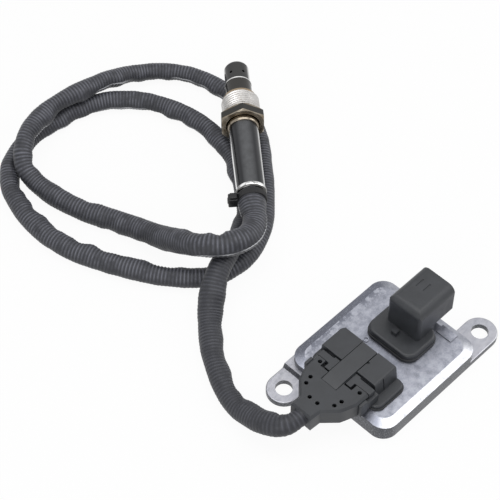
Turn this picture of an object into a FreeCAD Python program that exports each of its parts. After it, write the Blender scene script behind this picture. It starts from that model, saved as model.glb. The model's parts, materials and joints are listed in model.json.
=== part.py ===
import FreeCAD, Part

import math
import os
import re

import Sketcher

# Driving dimensions, in millimetres and degrees.
# The origin is the centre of the mounting hole pattern at the base; +X runs from the sensor plug
# towards the power connector, +Z is up.
SIZES = {
    # Cast housing of the control unit
    "housing_length": 67.6,
    "housing_width": 62.0,
    "housing_corner": 8.0,
    "rim_height": 8.9,
    "plateau_height": 10.4,
    "bevel_width": 4.0,
    "housing_wall": 2.4,
    "cavity_height": 8.0,
    "ledge_width": 1.2,
    "rim_rounding": 0.5,
    "label_inset_x": 5.6,
    "label_inset_y": 16.1,
    "label_length": 5.2,
    "label_width": 9.2,
    "label_height": 0.5,
    "label_root": 0.6,
    "gauge_ring_x": -1.4,
    "gauge_ring_y": 10.3,
    "gauge_ring_radius": 1.5,
    "gauge_ring_wall": 0.55,
    # Lug ears
    "hole_spacing_x": 90.0,
    "hole_diameter": 8.5,
    "hole_chamfer": 0.5,
    "lug_radius": 8.6,
    "lug_thickness": 3.0,
    "lug_rounding": 0.6,
    "lug_step_height": 5.2,
    "lug_step_reach": 1.8,
    "lug_step_ramp": 1.2,
    # Base plate, housing seal and circuit board
    "plate_thickness": 1.5,
    "plate_gap": 0.1,
    "housing_seal_thickness": 0.8,
    "post_height": 2.0,
    "post_radius": 3.0,
    "post_inset": 5.0,
    "board_gap": 2.4,
    "board_corner": 2.0,
    "board_thickness": 1.6,
    "processor_width": 12.0,
    "processor_height": 1.5,
    "driver_width": 9.0,
    "driver_height": 1.9,
    "chip_inset": 7.5,
    "chip_x": 1.0,
    "capacitor_count": 4,
    "capacitor_radius": 1.9,
    "capacitor_height": 2.0,
    "capacitor_pitch": 10.0,
    "capacitor_inset": 2.4,
    # Power connector
    "power_x": 12.4,
    "power_y": 0.0,
    "power_flange_length": 23.2,
    "power_flange_width": 29.8,
    "power_flange_corner": 6.5,
    "power_flange_height": 4.6,
    "power_flange_inset": 0.5,
    "power_flange_rounding": 1.4,
    "power_seal_height": 1.8,
    "elbow_setback": 0.4,
    "elbow_depth": 12.0,
    "elbow_width": 19.9,
    "elbow_height": 23.6,
    "elbow_rounding": 4.2,
    "elbow_corner": 2.0,
    "shroud_reach": 24.7,
    "shroud_height": 16.3,
    "shroud_wall": 1.8,
    "shroud_depth": 15.0,
    "shroud_bore_corner": 2.6,
    "shroud_bottom_corner": 1.6,
    "key_post_x": -3.95,
    "key_post_y": 1.0,
    "key_post_width": 2.9,
    "key_post_height": 2.4,
    "gate_mark_x": -1.0,
    "gate_mark_y": -3.1,
    "gate_mark_radius": 0.4,
    "dash_start": 12.6,
    "dash_length": 5.2,
    "dash_width": 0.7,
    "dash_depth": 0.3,
    "left_dash_y": 4.05,
    "right_dash_y": -0.3,
    "power_spigot_length": 12.0,
    "power_spigot_width": 20.0,
    "spigot_corner": 2.0,
    "spigot_depth": 3.0,
    "spigot_gap": 0.1,
    "pin_width": 1.0,
    "power_pin_count": 4,
    "power_pin_pitch": 3.6,
    "power_pin_reach": 10.0,
    # Sensor socket
    "socket_x": -18.5,
    "socket_flange_length": 21.0,
    "socket_flange_width": 43.6,
    "socket_flange_corner": 4.5,
    "socket_flange_height": 2.8,
    "socket_flange_inset": 0.6,
    "socket_flange_rounding": 0.9,
    "socket_seal_height": 1.0,
    "hood_mouth_x": -24.0,
    "hood_length": 14.7,
    "hood_y": 1.25,
    "hood_width": 35.3,
    "hood_height": 11.4,
    "hood_near_slope": 1.5,
    "hood_far_slope": 0.5,
    "hood_shoulder": 1.1,
    "hood_corner_x": 2.9,
    "hood_corner_y": 1.6,
    "hood_slit_x": 5.4,
    "hood_slit_width": 0.6,
    "hood_slit_depth": 0.7,
    "hood_notch_x": 6.5,
    "hood_notch_length": 1.3,
    "hood_notch_width": 1.0,
    "hood_wall": 1.8,
    "hood_bore_corner": 3.8,
    "socket_spigot_length": 5.0,
    "socket_spigot_width": 32.0,
    "socket_pin_count": 8,
    "socket_pin_margin": 4.7,
    "socket_pin_height": 6.2,
    "socket_pin_reach": 10.0,
    "socket_pin_clearance": 1.6,
    # Sensor plug
    "plug_clearance": 0.3,
    "plug_nose_setback": 2.6,
    "plug_block_length": 8.7,
    "plug_block_width": 35.6,
    "plug_core_length": 3.8,
    "plug_core_width": 24.6,
    "wing_length": 3.6,
    "wing_thickness": 1.5,
    "wing_height": 10.0,
    "plug_foot": 1.8,
    "shelf_height": 7.8,
    "slide_floor": 10.4,
    "slide_pad_width": 9.4,
    "terminal_width": 2.2,
    "plug_seal_width": 2.0,
    "plug_seal_depth": 1.0,
    # Wire cover
    "cover_foot": 1.6,
    "cover_height": 11.1,
    "cover_wall": 1.5,
    "cover_lip_x": -29.6,
    "cover_outlet_x": -57.8,
    "cover_neck_x": -51.8,
    "cover_flank_x": -45.3,
    "cover_flank_end_x": -42.6,
    "cover_shoulder_x": -37.2,
    "outlet_half_width": 6.2,
    "neck_half_width": 6.6,
    "flank_half_width": 13.0,
    "flank_end_half_width": 14.1,
    "cover_half_width": 16.1,
    "cover_chamfer": 1.1,
    "cover_corner": 1.0,
    "cover_hole_radius": 1.05,
    "window_half_width": 9.8,
    "slide_y": 1.0,
    "slide_slot_width": 9.6,
    "slide_width": 9.0,
    "slide_thickness": 1.3,
    "slide_tip_thickness": 0.4,
    "slide_start_x": -38.1,
    "slide_ramp_length": 6.3,
    # Latches
    "latch_rise": 2.9,
    "latch_stem_width": 3.2,
    "latch_stem_start": 5.0,
    "latch_stem_length": 7.6,
    "latch_arm_width": 3.8,
    "latch_arm_setback": 0.8,
    "latch_arm_end": 16.2,
    # Cable outlet, grommet and wires
    "outlet_centre": 6.35,
    "grommet_radius": 4.3,
    "grommet_bore": 3.2,
    "grommet_length": 7.6,
    "wire_radius": 0.6,
    "wire_bunch": 1.3,
    # Cable
    "cable_diameter": 9.6,
    "cable_lead_in": 7.0,
    "cable_lead_out": 4.8,
    # Probe, measured along its axis from the rear face of the hexagon
    "probe_x": 48.7,
    "probe_y": 142.5,
    "probe_height": 20.5,
    "probe_heading": 50.0,
    "nut_flats": 22.0,
    "hex_length": 5.4,
    "hex_chamfer": 0.5,
    "thread_diameter": 20.0,
    "thread_end": 17.4,
    "thread_chamfer": 1.0,
    "thread_relief_depth": 0.9,
    "thread_relief_length": 1.3,
    "nut_bore_gap": 0.45,
    "nut_shoulder": 9.5,
    "nut_shoulder_play": 0.6,
    "face_groove_radius": 10.0,
    "face_groove_width": 0.5,
    "face_groove_depth": 0.3,
    "swivel_clearance": 0.08,
    "collar_radius": 8.3,
    "collar_start": -1.2,
    "collar_bevel": 1.2,
    "shank_radius": 7.2,
    "seat_gap": 0.4,
    "seat_radius": 8.8,
    "seat_length": 1.2,
    "seat_cone_length": 1.4,
    "barrel_radius": 6.95,
    "barrel_end": 28.4,
    "housing_bore": 4.6,
    "housing_counterbore": 6.2,
    "counterbore_end": 3.0,
    "tube_spigot_length": 2.6,
    "sleeve_front_radius": 7.75,
    "sleeve_rear_radius": 7.4,
    "sleeve_bore": 6.85,
    "sleeve_end": -44.2,
    "sleeve_overlap": 6.6,
    "end_ring_length": 3.0,
    "end_ring_flare": 0.4,
    "end_ring_bore": 5.4,
    "bush_length": 9.0,
    "bush_bore": 3.0,
    "insulator_start": -30.0,
    "insulator_radius": 6.1,
    "element_width": 4.2,
    "element_thickness": 1.6,
    "element_start": -27.0,
    "element_end": 36.5,
    "packing_start": 4.0,
    "packing_end": 27.0,
    "tube_radius": 6.6,
    "tube_wall": 0.5,
    "tube_lip_radius": 7.1,
    "tube_lip_length": 0.7,
    "tube_end": 41.6,
    "tube_nose_rounding": 1.6,
    "tip_hole_radius": 1.5,
    "gas_hole_radius": 0.75,
    "gas_hole_place": 34.0,
    "inner_gas_hole_place": 36.0,
    "inner_tube_radius": 4.4,
    "inner_tube_end": 39.4,
    # Cuff of the cable sleeve on the probe's tail, and its tie
    "cuff_radius": 6.5,
    "cuff_straight": 5.4,
    "cuff_length": 14.0,
    "tie_start": 0.7,
    "tie_width": 3.8,
    "tie_thickness": 0.9,
    "tie_head_width": 5.4,
    "tie_head_height": 5.0,
    "tie_head_length": 5.0,
}

GAS_HOLE_COUNT = 6
TOLERANCE = 1e-4

# Share of the shorter run that each arc of the cable takes on either side of its point
ARC_SHARE = 0.45

# Route of the free cable between its two straight ends, from the probe to the wire cover
CABLE_ROUTE = [
    (-6.4, 86.2, 24.4),
    (-17.3, 89.4, 26.6),
    (-24.6, 98.6, 25.6),
    (-26.2, 112.8, 17.5),
    (-27.2, 129.6, 8.3),
    (-31.4, 149.3, 4.8),
    (-39.2, 167, 4.8),
    (-43.8, 185, 4.8),
    (-44.9, 200, 5.1),
    (-44.9, 209.6, 10),
    (-38.3, 217.9, 15.3),
    (-21.2, 227, 15.2),
    (0.2, 227.2, 15.3),
    (21.2, 225, 12.9),
    (42.7, 222.8, 5.9),
    (59.5, 211.1, 4.8),
    (69, 192.9, 4.8),
    (71.2, 167.2, 4.8),
    (61.9, 142.7, 4.8),
    (44.3, 122.3, 4.8),
    (27, 104, 4.8),
    (10.1, 91.9, 4.8),
    (-6.9, 88, 4.8),
    (-23, 91.2, 4.8),
    (-35.6, 102.9, 4.8),
    (-46.6, 120.1, 4.8),
    (-56.2, 140.5, 4.8),
    (-63.9, 163.5, 4.8),
    (-62.8, 190.5, 4.8),
    (-53.3, 215, 4.8),
    (-33.5, 226.9, 4.8),
    (-5.7, 227.1, 4.8),
    (17.7, 220.9, 4.8),
    (33.9, 205.9, 4.8),
    (43.1, 184.1, 4.8),
    (45.1, 159.4, 4.8),
    (36.9, 135, 4.8),
    (22.6, 113.3, 4.8),
    (5.3, 101, 7.9),
    (-10.9, 92, 15.9),
    (-24.8, 87.2, 15.9),
    (-35.3, 81.1, 11.8),
    (-44.1, 73.3, 5.1),
    (-55.2, 60.1, 4.8),
    (-63.9, 46, 4.8),
    (-69.2, 31.3, 5.1),
    (-70, 18.3, 8.8),
    (-69.4, 10.6, 12.6),
    (-67.3, 3.4, 15.6),
]

document = FreeCAD.newDocument("NitrogenOxideSensor")
sheet = document.addObject("Spreadsheet::Sheet", "Sizes")
for row, (name, number) in enumerate(SIZES.items(), start=1):
    sheet.set(f"A{row}", name)
    sheet.set(f"B{row}", str(number))
    sheet.setAlias(f"B{row}", name)
document.recompute()

nodes = {}


def bound(expression):
    """Name the sheet before each size in an expression."""
    return re.sub(r"[a-z][a-z0-9_]*", lambda word: f"Sizes.{word[0]}" if word[0] in SIZES else word[0],
                  str(expression))


def size(expression):
    """Work out an expression of sizes."""
    return float(sheet.evalExpression(bound(expression)))


def keep(piece, label):
    """Name a finished piece and list it as a sub-part."""
    piece.Label = label
    nodes[label] = piece
    return piece


def new_body(name):
    """Start an empty body."""
    return document.addObject("PartDesign::Body", name)


def move_to(piece, x="0", y="0", z="0"):
    """Bind a piece's position to the sheet."""
    for axis, place in zip("xyz", (x, y, z)):
        piece.setExpression(f"Placement.Base.{axis}", bound(place))
    return piece


def new_sketch(piece, plane="XY_Plane", offset="0"):
    """Start a sketch on one of the body's own planes, moved along the plane's normal."""
    drawing = piece.newObject("Sketcher::SketchObject", f"{piece.Name}_sketch")
    support = [feature for feature in piece.Origin.OriginFeatures if feature.Role == plane][0]
    drawing.AttachmentSupport = [(support, "")]
    drawing.MapMode = "FlatFace"
    drawing.setExpression("AttachmentOffset.Base.z", bound(offset))
    return drawing


def draw_outline(drawing, points):
    """Draw a closed outline whose corners are all bound to the sheet."""
    first = drawing.GeometryCount
    count = len(points)
    places = [FreeCAD.Vector(size(x), size(y), 0) for x, y in points]
    for index in range(count):
        line = Part.LineSegment(places[index], places[(index + 1) % count])
        drawing.addGeometry(line, False)
    for index, (x, y) in enumerate(points):
        line = first + index
        drawing.addConstraint(Sketcher.Constraint("Coincident", line, 2, first + (index + 1) % count, 1))
        across = drawing.addConstraint(Sketcher.Constraint("DistanceX", -1, 1, line, 1, places[index].x))
        drawing.setExpression(f"Constraints[{across}]", bound(x))
        up = drawing.addConstraint(Sketcher.Constraint("DistanceY", -1, 1, line, 1, places[index].y))
        drawing.setExpression(f"Constraints[{up}]", bound(y))


def draw_circle(drawing, x, y, radius):
    """Draw a circle whose centre and radius are bound to the sheet."""
    centre = FreeCAD.Vector(size(x), size(y), 0)
    index = drawing.addGeometry(Part.Circle(centre, FreeCAD.Vector(0, 0, 1), size(radius)), False)
    across = drawing.addConstraint(Sketcher.Constraint("DistanceX", -1, 1, index, 3, centre.x))
    drawing.setExpression(f"Constraints[{across}]", bound(x))
    up = drawing.addConstraint(Sketcher.Constraint("DistanceY", -1, 1, index, 3, centre.y))
    drawing.setExpression(f"Constraints[{up}]", bound(y))
    wide = drawing.addConstraint(Sketcher.Constraint("Radius", index, size(radius)))
    drawing.setExpression(f"Constraints[{wide}]", bound(radius))


def rectangle(x, y, width, depth):
    """Corners of a rectangle about a centre."""
    return [
        (f"({x}) - ({width}) / 2", f"({y}) - ({depth}) / 2"),
        (f"({x}) + ({width}) / 2", f"({y}) - ({depth}) / 2"),
        (f"({x}) + ({width}) / 2", f"({y}) + ({depth}) / 2"),
        (f"({x}) - ({width}) / 2", f"({y}) + ({depth}) / 2"),
    ]


def mirrored(points):
    """Close an upper half outline with its mirror image below the first axis."""
    return points + [(x, f"-({y})") for x, y in reversed(points)]


def add_length(piece, kind, drawing, length, reverse=False, both_ways=False):
    """Pad or pocket a sketch."""
    feature = piece.newObject(f"PartDesign::{kind}", f"{drawing.Name}_{kind.lower()}")
    feature.Profile = drawing
    feature.setExpression("Length", bound(length))
    feature.Reversed = reverse
    feature.Midplane = both_ways
    document.recompute()
    return feature


def pad(piece, drawing, length, reverse=False, both_ways=False):
    """Raise a sketch into a solid."""
    return add_length(piece, "Pad", drawing, length, reverse, both_ways)


def pocket(piece, drawing, length, reverse=False, both_ways=False):
    """Cut a sketch into the solid."""
    return add_length(piece, "Pocket", drawing, length, reverse, both_ways)


def turn(piece, kind, points):
    """Revolve an outline of radius and height about the body's Z axis."""
    drawing = new_sketch(piece, "XZ_Plane")
    draw_outline(drawing, points)
    feature = piece.newObject(f"PartDesign::{kind}", f"{drawing.Name}_{kind.lower()}")
    feature.Profile = drawing
    feature.ReferenceAxis = (drawing, ["V_Axis"])
    feature.Angle = 360
    document.recompute()
    return feature


def edges_where(feature, test):
    """Names of a feature's edges whose every point passes a test."""
    found = []
    for number, edge in enumerate(feature.Shape.Edges, start=1):
        middle = edge.valueAt((edge.FirstParameter + edge.LastParameter) / 2)
        points = [vertex.Point for vertex in edge.Vertexes] + [middle]
        if all(test(point) for point in points):
            found.append(f"Edge{number}")
    return found


def near(value, expression):
    """Whether a coordinate is at a place worked out from the sheet."""
    return abs(value - size(expression)) < TOLERANCE


def finish_edges(piece, kind, test, amount):
    """Round or chamfer the edges of the body's last feature that pass a test."""
    base = piece.Tip
    feature = piece.newObject(f"PartDesign::{kind}", f"{base.Name}_{kind.lower()}")
    feature.Base = (base, edges_where(base, test))
    feature.setExpression("Radius" if kind == "Fillet" else "Size", bound(amount))
    document.recompute()
    return feature


def prism(name, points, start, length, plane="XY_Plane", rounding=None):
    """Raise an outline and round the corners that are named by their places in it."""
    piece = new_body(name)
    drawing = new_sketch(piece, plane, start)
    draw_outline(drawing, points)
    pad(piece, drawing, length)
    axes = {"XY_Plane": "xy", "XZ_Plane": "xz", "YZ_Plane": "yz"}[plane]
    for corners, radius in (rounding or {}).items():
        def at_corner(point):
            return any(near(getattr(point, axes[0]), points[corner][0])
                       and near(getattr(point, axes[1]), points[corner][1]) for corner in corners)
        finish_edges(piece, "Fillet", at_corner, radius)
    return piece


ALL_FOUR = tuple(range(4))


def box(name, x, y, z):
    """Make a block between the low and high ends given along each axis."""
    piece = document.addObject("Part::Box", name)
    for side, (low, high) in zip(("Length", "Width", "Height"), (x, y, z)):
        piece.setExpression(side, bound(f"({high}) - ({low})"))
    return move_to(piece, x[0], y[0], z[0])


def cylinder_along_x(name, x, y, z, radius):
    """Make a round bar between two places along X."""
    piece = document.addObject("Part::Cylinder", name)
    piece.setExpression("Radius", bound(radius))
    piece.setExpression("Height", bound(f"({x[1]}) - ({x[0]})"))
    piece.Placement.Rotation = FreeCAD.Rotation(FreeCAD.Vector(0, 1, 0), 90)
    return move_to(piece, x[0], y, z)


def group(name, pieces):
    """Hold separate solids in one object."""
    piece = document.addObject("Part::Compound", name)
    piece.Links = pieces
    return piece


def fuse(name, pieces):
    """Join solids into one."""
    piece = document.addObject("Part::MultiFuse", name)
    piece.Shapes = pieces
    piece.Refine = True
    return piece


def common(name, pieces):
    """Keep what several solids share."""
    piece = document.addObject("Part::MultiCommon", name)
    piece.Shapes = pieces
    return piece


def cut(name, base, tools):
    """Cut solids out of another."""
    piece = document.addObject("Part::Cut", name)
    piece.Base = base
    piece.Tool = tools[0] if len(tools) == 1 else group(f"{name}_tools", tools)
    piece.Refine = True
    return piece


# Control unit housing

BOARD_BOTTOM = "(plate_thickness + post_height)"
BOARD_LENGTH = "(housing_length - 2 * housing_wall - 2 * board_gap)"
BOARD_WIDTH = "(housing_width - 2 * housing_wall - 2 * board_gap)"
BOARD_TOP = "(plate_thickness + post_height + board_thickness)"
REBATE_DEPTH = "(plate_thickness + housing_seal_thickness)"
CAVITY_LENGTH = "(housing_length - 2 * housing_wall)"
CAVITY_WIDTH = "(housing_width - 2 * housing_wall)"
CAVITY_CORNER = "(housing_corner - housing_wall)"
REBATE_LENGTH = "(housing_length - 2 * (housing_wall - ledge_width))"
REBATE_WIDTH = "(housing_width - 2 * (housing_wall - ledge_width))"
REBATE_CORNER = "(housing_corner - housing_wall + ledge_width)"
HOLE_X = "(hole_spacing_x / 2)"
HOLE_Y = "(housing_width / 2 - lug_radius)"
SOCKET_SPIGOT_X = "(hood_mouth_x + hood_length - hood_wall - socket_pin_clearance)"


def rounded_block(name, x, y, length, width, corner, start, height):
    """Raise a rectangle with four rounded corners."""
    return prism(name, rectangle(x, y, length, width), start, height, rounding={ALL_FOUR: corner})


def housing_lugs(piece):
    """Add the two ears at opposite corners, with the raised step of the plug's side."""
    for side in (-1, 1):
        ear = new_sketch(piece)
        inner = f"{side} * (housing_length / 2 - housing_corner)"
        outer = f"{side} * {HOLE_X}"
        low = f"-{side} * {HOLE_Y} - lug_radius"
        high = f"-{side} * {HOLE_Y} + lug_radius"
        draw_outline(ear, [(inner, low), (outer, low), (outer, high), (inner, high)])
        pad(piece, ear, "lug_thickness")
        end = new_sketch(piece)
        draw_circle(end, outer, f"-{side} * {HOLE_Y}", "lug_radius")
        pad(piece, end, "lug_thickness")
    step = new_sketch(piece, "XZ_Plane", f"-({HOLE_Y} + lug_radius)")
    foot = "-(housing_length / 2 + lug_step_reach + lug_step_ramp)"
    inside = "-(housing_length / 2 - housing_corner)"
    draw_outline(step, [
        (foot, "0"),
        (foot, "lug_thickness"),
        ("-(housing_length / 2 + lug_step_reach)", "lug_step_height"),
        (inside, "lug_step_height"),
        (inside, "0"),
    ])
    pad(piece, step, "2 * lug_radius")


def housing_roof(piece):
    """Bevel the roof from the rim up to the plateau."""
    rim = new_sketch(piece, offset="rim_height")
    draw_rounded_rectangle(rim, "housing_length", "housing_width", "housing_corner")
    plateau = new_sketch(piece, offset="plateau_height")
    draw_rounded_rectangle(plateau, "housing_length - 2 * bevel_width", "housing_width - 2 * bevel_width",
                           "housing_corner - bevel_width / 2")
    roof = piece.newObject("PartDesign::AdditiveLoft", "housing_roof")
    roof.Profile = rim
    roof.Sections = [plateau]
    roof.Ruled = True
    document.recompute()


def draw_rounded_rectangle(drawing, length, width, corner):
    """Draw a centred rectangle of four lines and four tangent arcs."""
    half_x, half_y, radius = size(length) / 2, size(width) / 2, size(corner)
    turns = [(1, -1, -90), (1, 1, 0), (-1, 1, 90), (-1, -1, 180)]
    for across, up, angle in turns:
        centre = FreeCAD.Vector(across * (half_x - radius), up * (half_y - radius), 0)
        circle = Part.Circle(centre, FreeCAD.Vector(0, 0, 1), radius)
        start = math.radians(angle)
        drawing.addGeometry(Part.ArcOfCircle(circle, start, start + math.pi / 2), False)
    arcs = [drawing.Geometry[index] for index in range(4)]
    for index in range(4):
        following = arcs[(index + 1) % 4]
        drawing.addGeometry(Part.LineSegment(arcs[index].EndPoint, following.StartPoint), False)
    for index in range(4):
        line, following = 4 + index, (index + 1) % 4
        drawing.addConstraint(Sketcher.Constraint("Tangent", index, 2, line, 1))
        drawing.addConstraint(Sketcher.Constraint("Tangent", line, 2, following, 1))
        direction = "Vertical" if index % 2 == 0 else "Horizontal"
        drawing.addConstraint(Sketcher.Constraint(direction, line))
        if index:
            drawing.addConstraint(Sketcher.Constraint("Equal", 0, index))
    bends = drawing.addConstraint(Sketcher.Constraint("Radius", 0, radius))
    drawing.setExpression(f"Constraints[{bends}]", bound(corner))
    for line, kind, place, expression in (
        (4, "DistanceX", half_x, f"({length}) / 2"),
        (5, "DistanceY", half_y, f"({width}) / 2"),
        (6, "DistanceX", -half_x, f"-({length}) / 2"),
        (7, "DistanceY", -half_y, f"-({width}) / 2"),
    ):
        index = drawing.addConstraint(Sketcher.Constraint(kind, -1, 1, line, 1, place))
        drawing.setExpression(f"Constraints[{index}]", bound(expression))


def control_housing():
    """Cast cover with ears, bevelled roof, board cavity, rebate and connector openings."""
    piece = new_body("control_housing")
    block = new_sketch(piece)
    draw_rounded_rectangle(block, "housing_length", "housing_width", "housing_corner")
    pad(piece, block, "rim_height")
    housing_roof(piece)
    housing_lugs(piece)
    finish_edges(piece, "Fillet", lambda point: near(point.z, "lug_thickness")
                 and abs(point.x) > size("housing_length / 2 + lug_step_reach + lug_step_ramp") - TOLERANCE
                 and not near(point.x, "-(housing_length / 2 + lug_step_reach + lug_step_ramp)"),
                 "lug_rounding")

    holes = new_sketch(piece, offset="lug_thickness")
    for side in (-1, 1):
        draw_circle(holes, f"{side} * {HOLE_X}", f"-{side} * {HOLE_Y}", "hole_diameter / 2")
    pocket(piece, holes, "lug_thickness")

    cavity = new_sketch(piece)
    draw_rounded_rectangle(cavity, CAVITY_LENGTH, CAVITY_WIDTH, CAVITY_CORNER)
    pocket(piece, cavity, "cavity_height", reverse=True)
    rebate = new_sketch(piece)
    draw_rounded_rectangle(rebate, REBATE_LENGTH, REBATE_WIDTH, REBATE_CORNER)
    pocket(piece, rebate, REBATE_DEPTH, reverse=True)

    label = new_sketch(piece, offset="plateau_height + label_height")
    draw_outline(label, rectangle("housing_length / 2 - label_inset_x",
                                  "-(housing_width / 2 - label_inset_y)", "label_length", "label_width"))
    pad(piece, label, "label_height + label_root", reverse=True)
    ring = new_sketch(piece, offset="plateau_height")
    draw_circle(ring, "gauge_ring_x", "gauge_ring_y", "gauge_ring_radius")
    draw_circle(ring, "gauge_ring_x", "gauge_ring_y", "gauge_ring_radius - gauge_ring_wall")
    pad(piece, ring, "label_height")

    opening = new_sketch(piece, offset="plateau_height")
    draw_outline(opening, rectangle("power_x - elbow_setback + elbow_depth / 2", "power_y",
                                    "power_spigot_length + 2 * spigot_gap",
                                    "power_spigot_width + 2 * spigot_gap"))
    pocket(piece, opening, "plateau_height - cavity_height")
    opening = new_sketch(piece, offset="plateau_height")
    draw_outline(opening, rectangle(SOCKET_SPIGOT_X, "0", "socket_spigot_length + 2 * spigot_gap",
                                    "socket_spigot_width + 2 * spigot_gap"))
    pocket(piece, opening, "plateau_height - cavity_height")
    return keep(piece, "control_housing")


def base_plate():
    """Sheet cover in the rebate, with four posts for the board."""
    piece = rounded_block("base_plate", "0", "0", f"{REBATE_LENGTH} - 2 * plate_gap",
                          f"{REBATE_WIDTH} - 2 * plate_gap", f"{REBATE_CORNER} - plate_gap", "0",
                          "plate_thickness")
    posts = new_sketch(piece, offset="plate_thickness")
    for across in (-1, 1):
        for along in (-1, 1):
            draw_circle(posts, f"{across} * ({BOARD_LENGTH} / 2 - post_inset)",
                        f"{along} * ({BOARD_WIDTH} / 2 - post_inset)", "post_radius")
    pad(piece, posts, "post_height")
    return keep(piece, "base_plate")


def housing_seal():
    """Silicone ring between the plate and the ledge of the rebate."""
    piece = rounded_block("housing_seal", "0", "0", f"{REBATE_LENGTH} - 2 * plate_gap",
                          f"{REBATE_WIDTH} - 2 * plate_gap", f"{REBATE_CORNER} - plate_gap",
                          "plate_thickness", "housing_seal_thickness")
    inside = new_sketch(piece, offset=REBATE_DEPTH)
    draw_rounded_rectangle(inside, CAVITY_LENGTH, CAVITY_WIDTH, CAVITY_CORNER)
    pocket(piece, inside, "housing_seal_thickness")
    return keep(piece, "housing_seal")


# Circuit board and what it carries


def circuit_board():
    """Board on the plate's posts."""
    return keep(rounded_block("circuit_board", "0", "0", BOARD_LENGTH, BOARD_WIDTH, "board_corner",
                              BOARD_BOTTOM, "board_thickness"), "circuit_board")


def board_chips():
    """Processor and heater driver, either side of the connectors' pins."""
    for label, side, width, height in (("processor_chip", -1, "processor_width", "processor_height"),
                                       ("heater_driver", 1, "driver_width", "driver_height")):
        piece = prism(label, rectangle("chip_x", f"{side} * ({BOARD_WIDTH} / 2 - chip_inset)", width, width),
                      BOARD_TOP, height)
        finish_edges(piece, "Chamfer", lambda point: near(point.z, f"{BOARD_TOP} + {height}"),
                     f"{height} / 5")
        keep(piece, label)


def row_places(count):
    """Places, in pitches, of a row centred on its middle."""
    return [place - (int(SIZES[count]) - 1) / 2 for place in range(int(SIZES[count]))]


def capacitors():
    """Row of capacitors beside the power connector's pins."""
    cans = []
    for place in row_places("capacitor_count"):
        can = document.addObject("Part::Cylinder", "capacitor")
        can.setExpression("Radius", bound("capacitor_radius"))
        can.setExpression("Height", bound("capacitor_height"))
        cans.append(move_to(can, f"{BOARD_LENGTH} / 2 - capacitor_inset", f"{place} * capacitor_pitch",
                            BOARD_TOP))
    return keep(group("capacitors", cans), "capacitors")


# Power connector

POWER_FLANGE_TOP = "(plateau_height + power_flange_height)"
ELBOW_BACK = "(power_x - elbow_setback)"
ELBOW_TOP = "(plateau_height + elbow_height)"
SHROUD_END = "(power_x + shroud_reach)"
SHROUD_CENTRE = "(plateau_height + elbow_height - shroud_height / 2)"
POWER_PIN_X = f"({ELBOW_BACK} + elbow_depth / 2)"


def bent_pin(name, leg_x, y, height, reach, toward):
    """Square pin that stands on the board and turns along X at a height."""
    half = "pin_width / 2"
    leg = box(f"{name}_leg", (f"{leg_x} - {half}", f"{leg_x} + {half}"), (f"{y} - {half}", f"{y} + {half}"),
              (BOARD_TOP, f"{height} + {half}"))
    ends = sorted((f"{leg_x}", f"{leg_x} + {toward} * ({reach})"), key=size)
    blade = box(f"{name}_blade", ends, (f"{y} - {half}", f"{y} + {half}"),
                (f"{height} - {half}", f"{height} + {half}"))
    return fuse(name, [leg, blade])


def power_connector_pins():
    """Row of bent pins across the shroud."""
    pins = []
    for place in row_places("power_pin_count"):
        pins.append(bent_pin("power_pin", POWER_PIN_X, f"(power_y + {place} * power_pin_pitch)",
                             SHROUD_CENTRE, "power_pin_reach", 1))
    return keep(group("power_connector_pins", pins), "power_connector_pins")


def power_connector_seal():
    """Seal ring between the flange and the plateau."""
    piece = rounded_block("power_connector_seal", "power_x", "power_y", "power_flange_length",
                          "power_flange_width", "power_flange_corner", "plateau_height",
                          "power_seal_height")
    inside = new_sketch(piece, offset="plateau_height")
    draw_outline(inside, rectangle(f"{ELBOW_BACK} + elbow_depth / 2", "power_y",
                                   "power_spigot_length + 2 * spigot_gap",
                                   "power_spigot_width + 2 * spigot_gap"))
    pocket(piece, inside, "power_seal_height", reverse=True)
    return keep(piece, "power_connector_seal")


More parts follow.
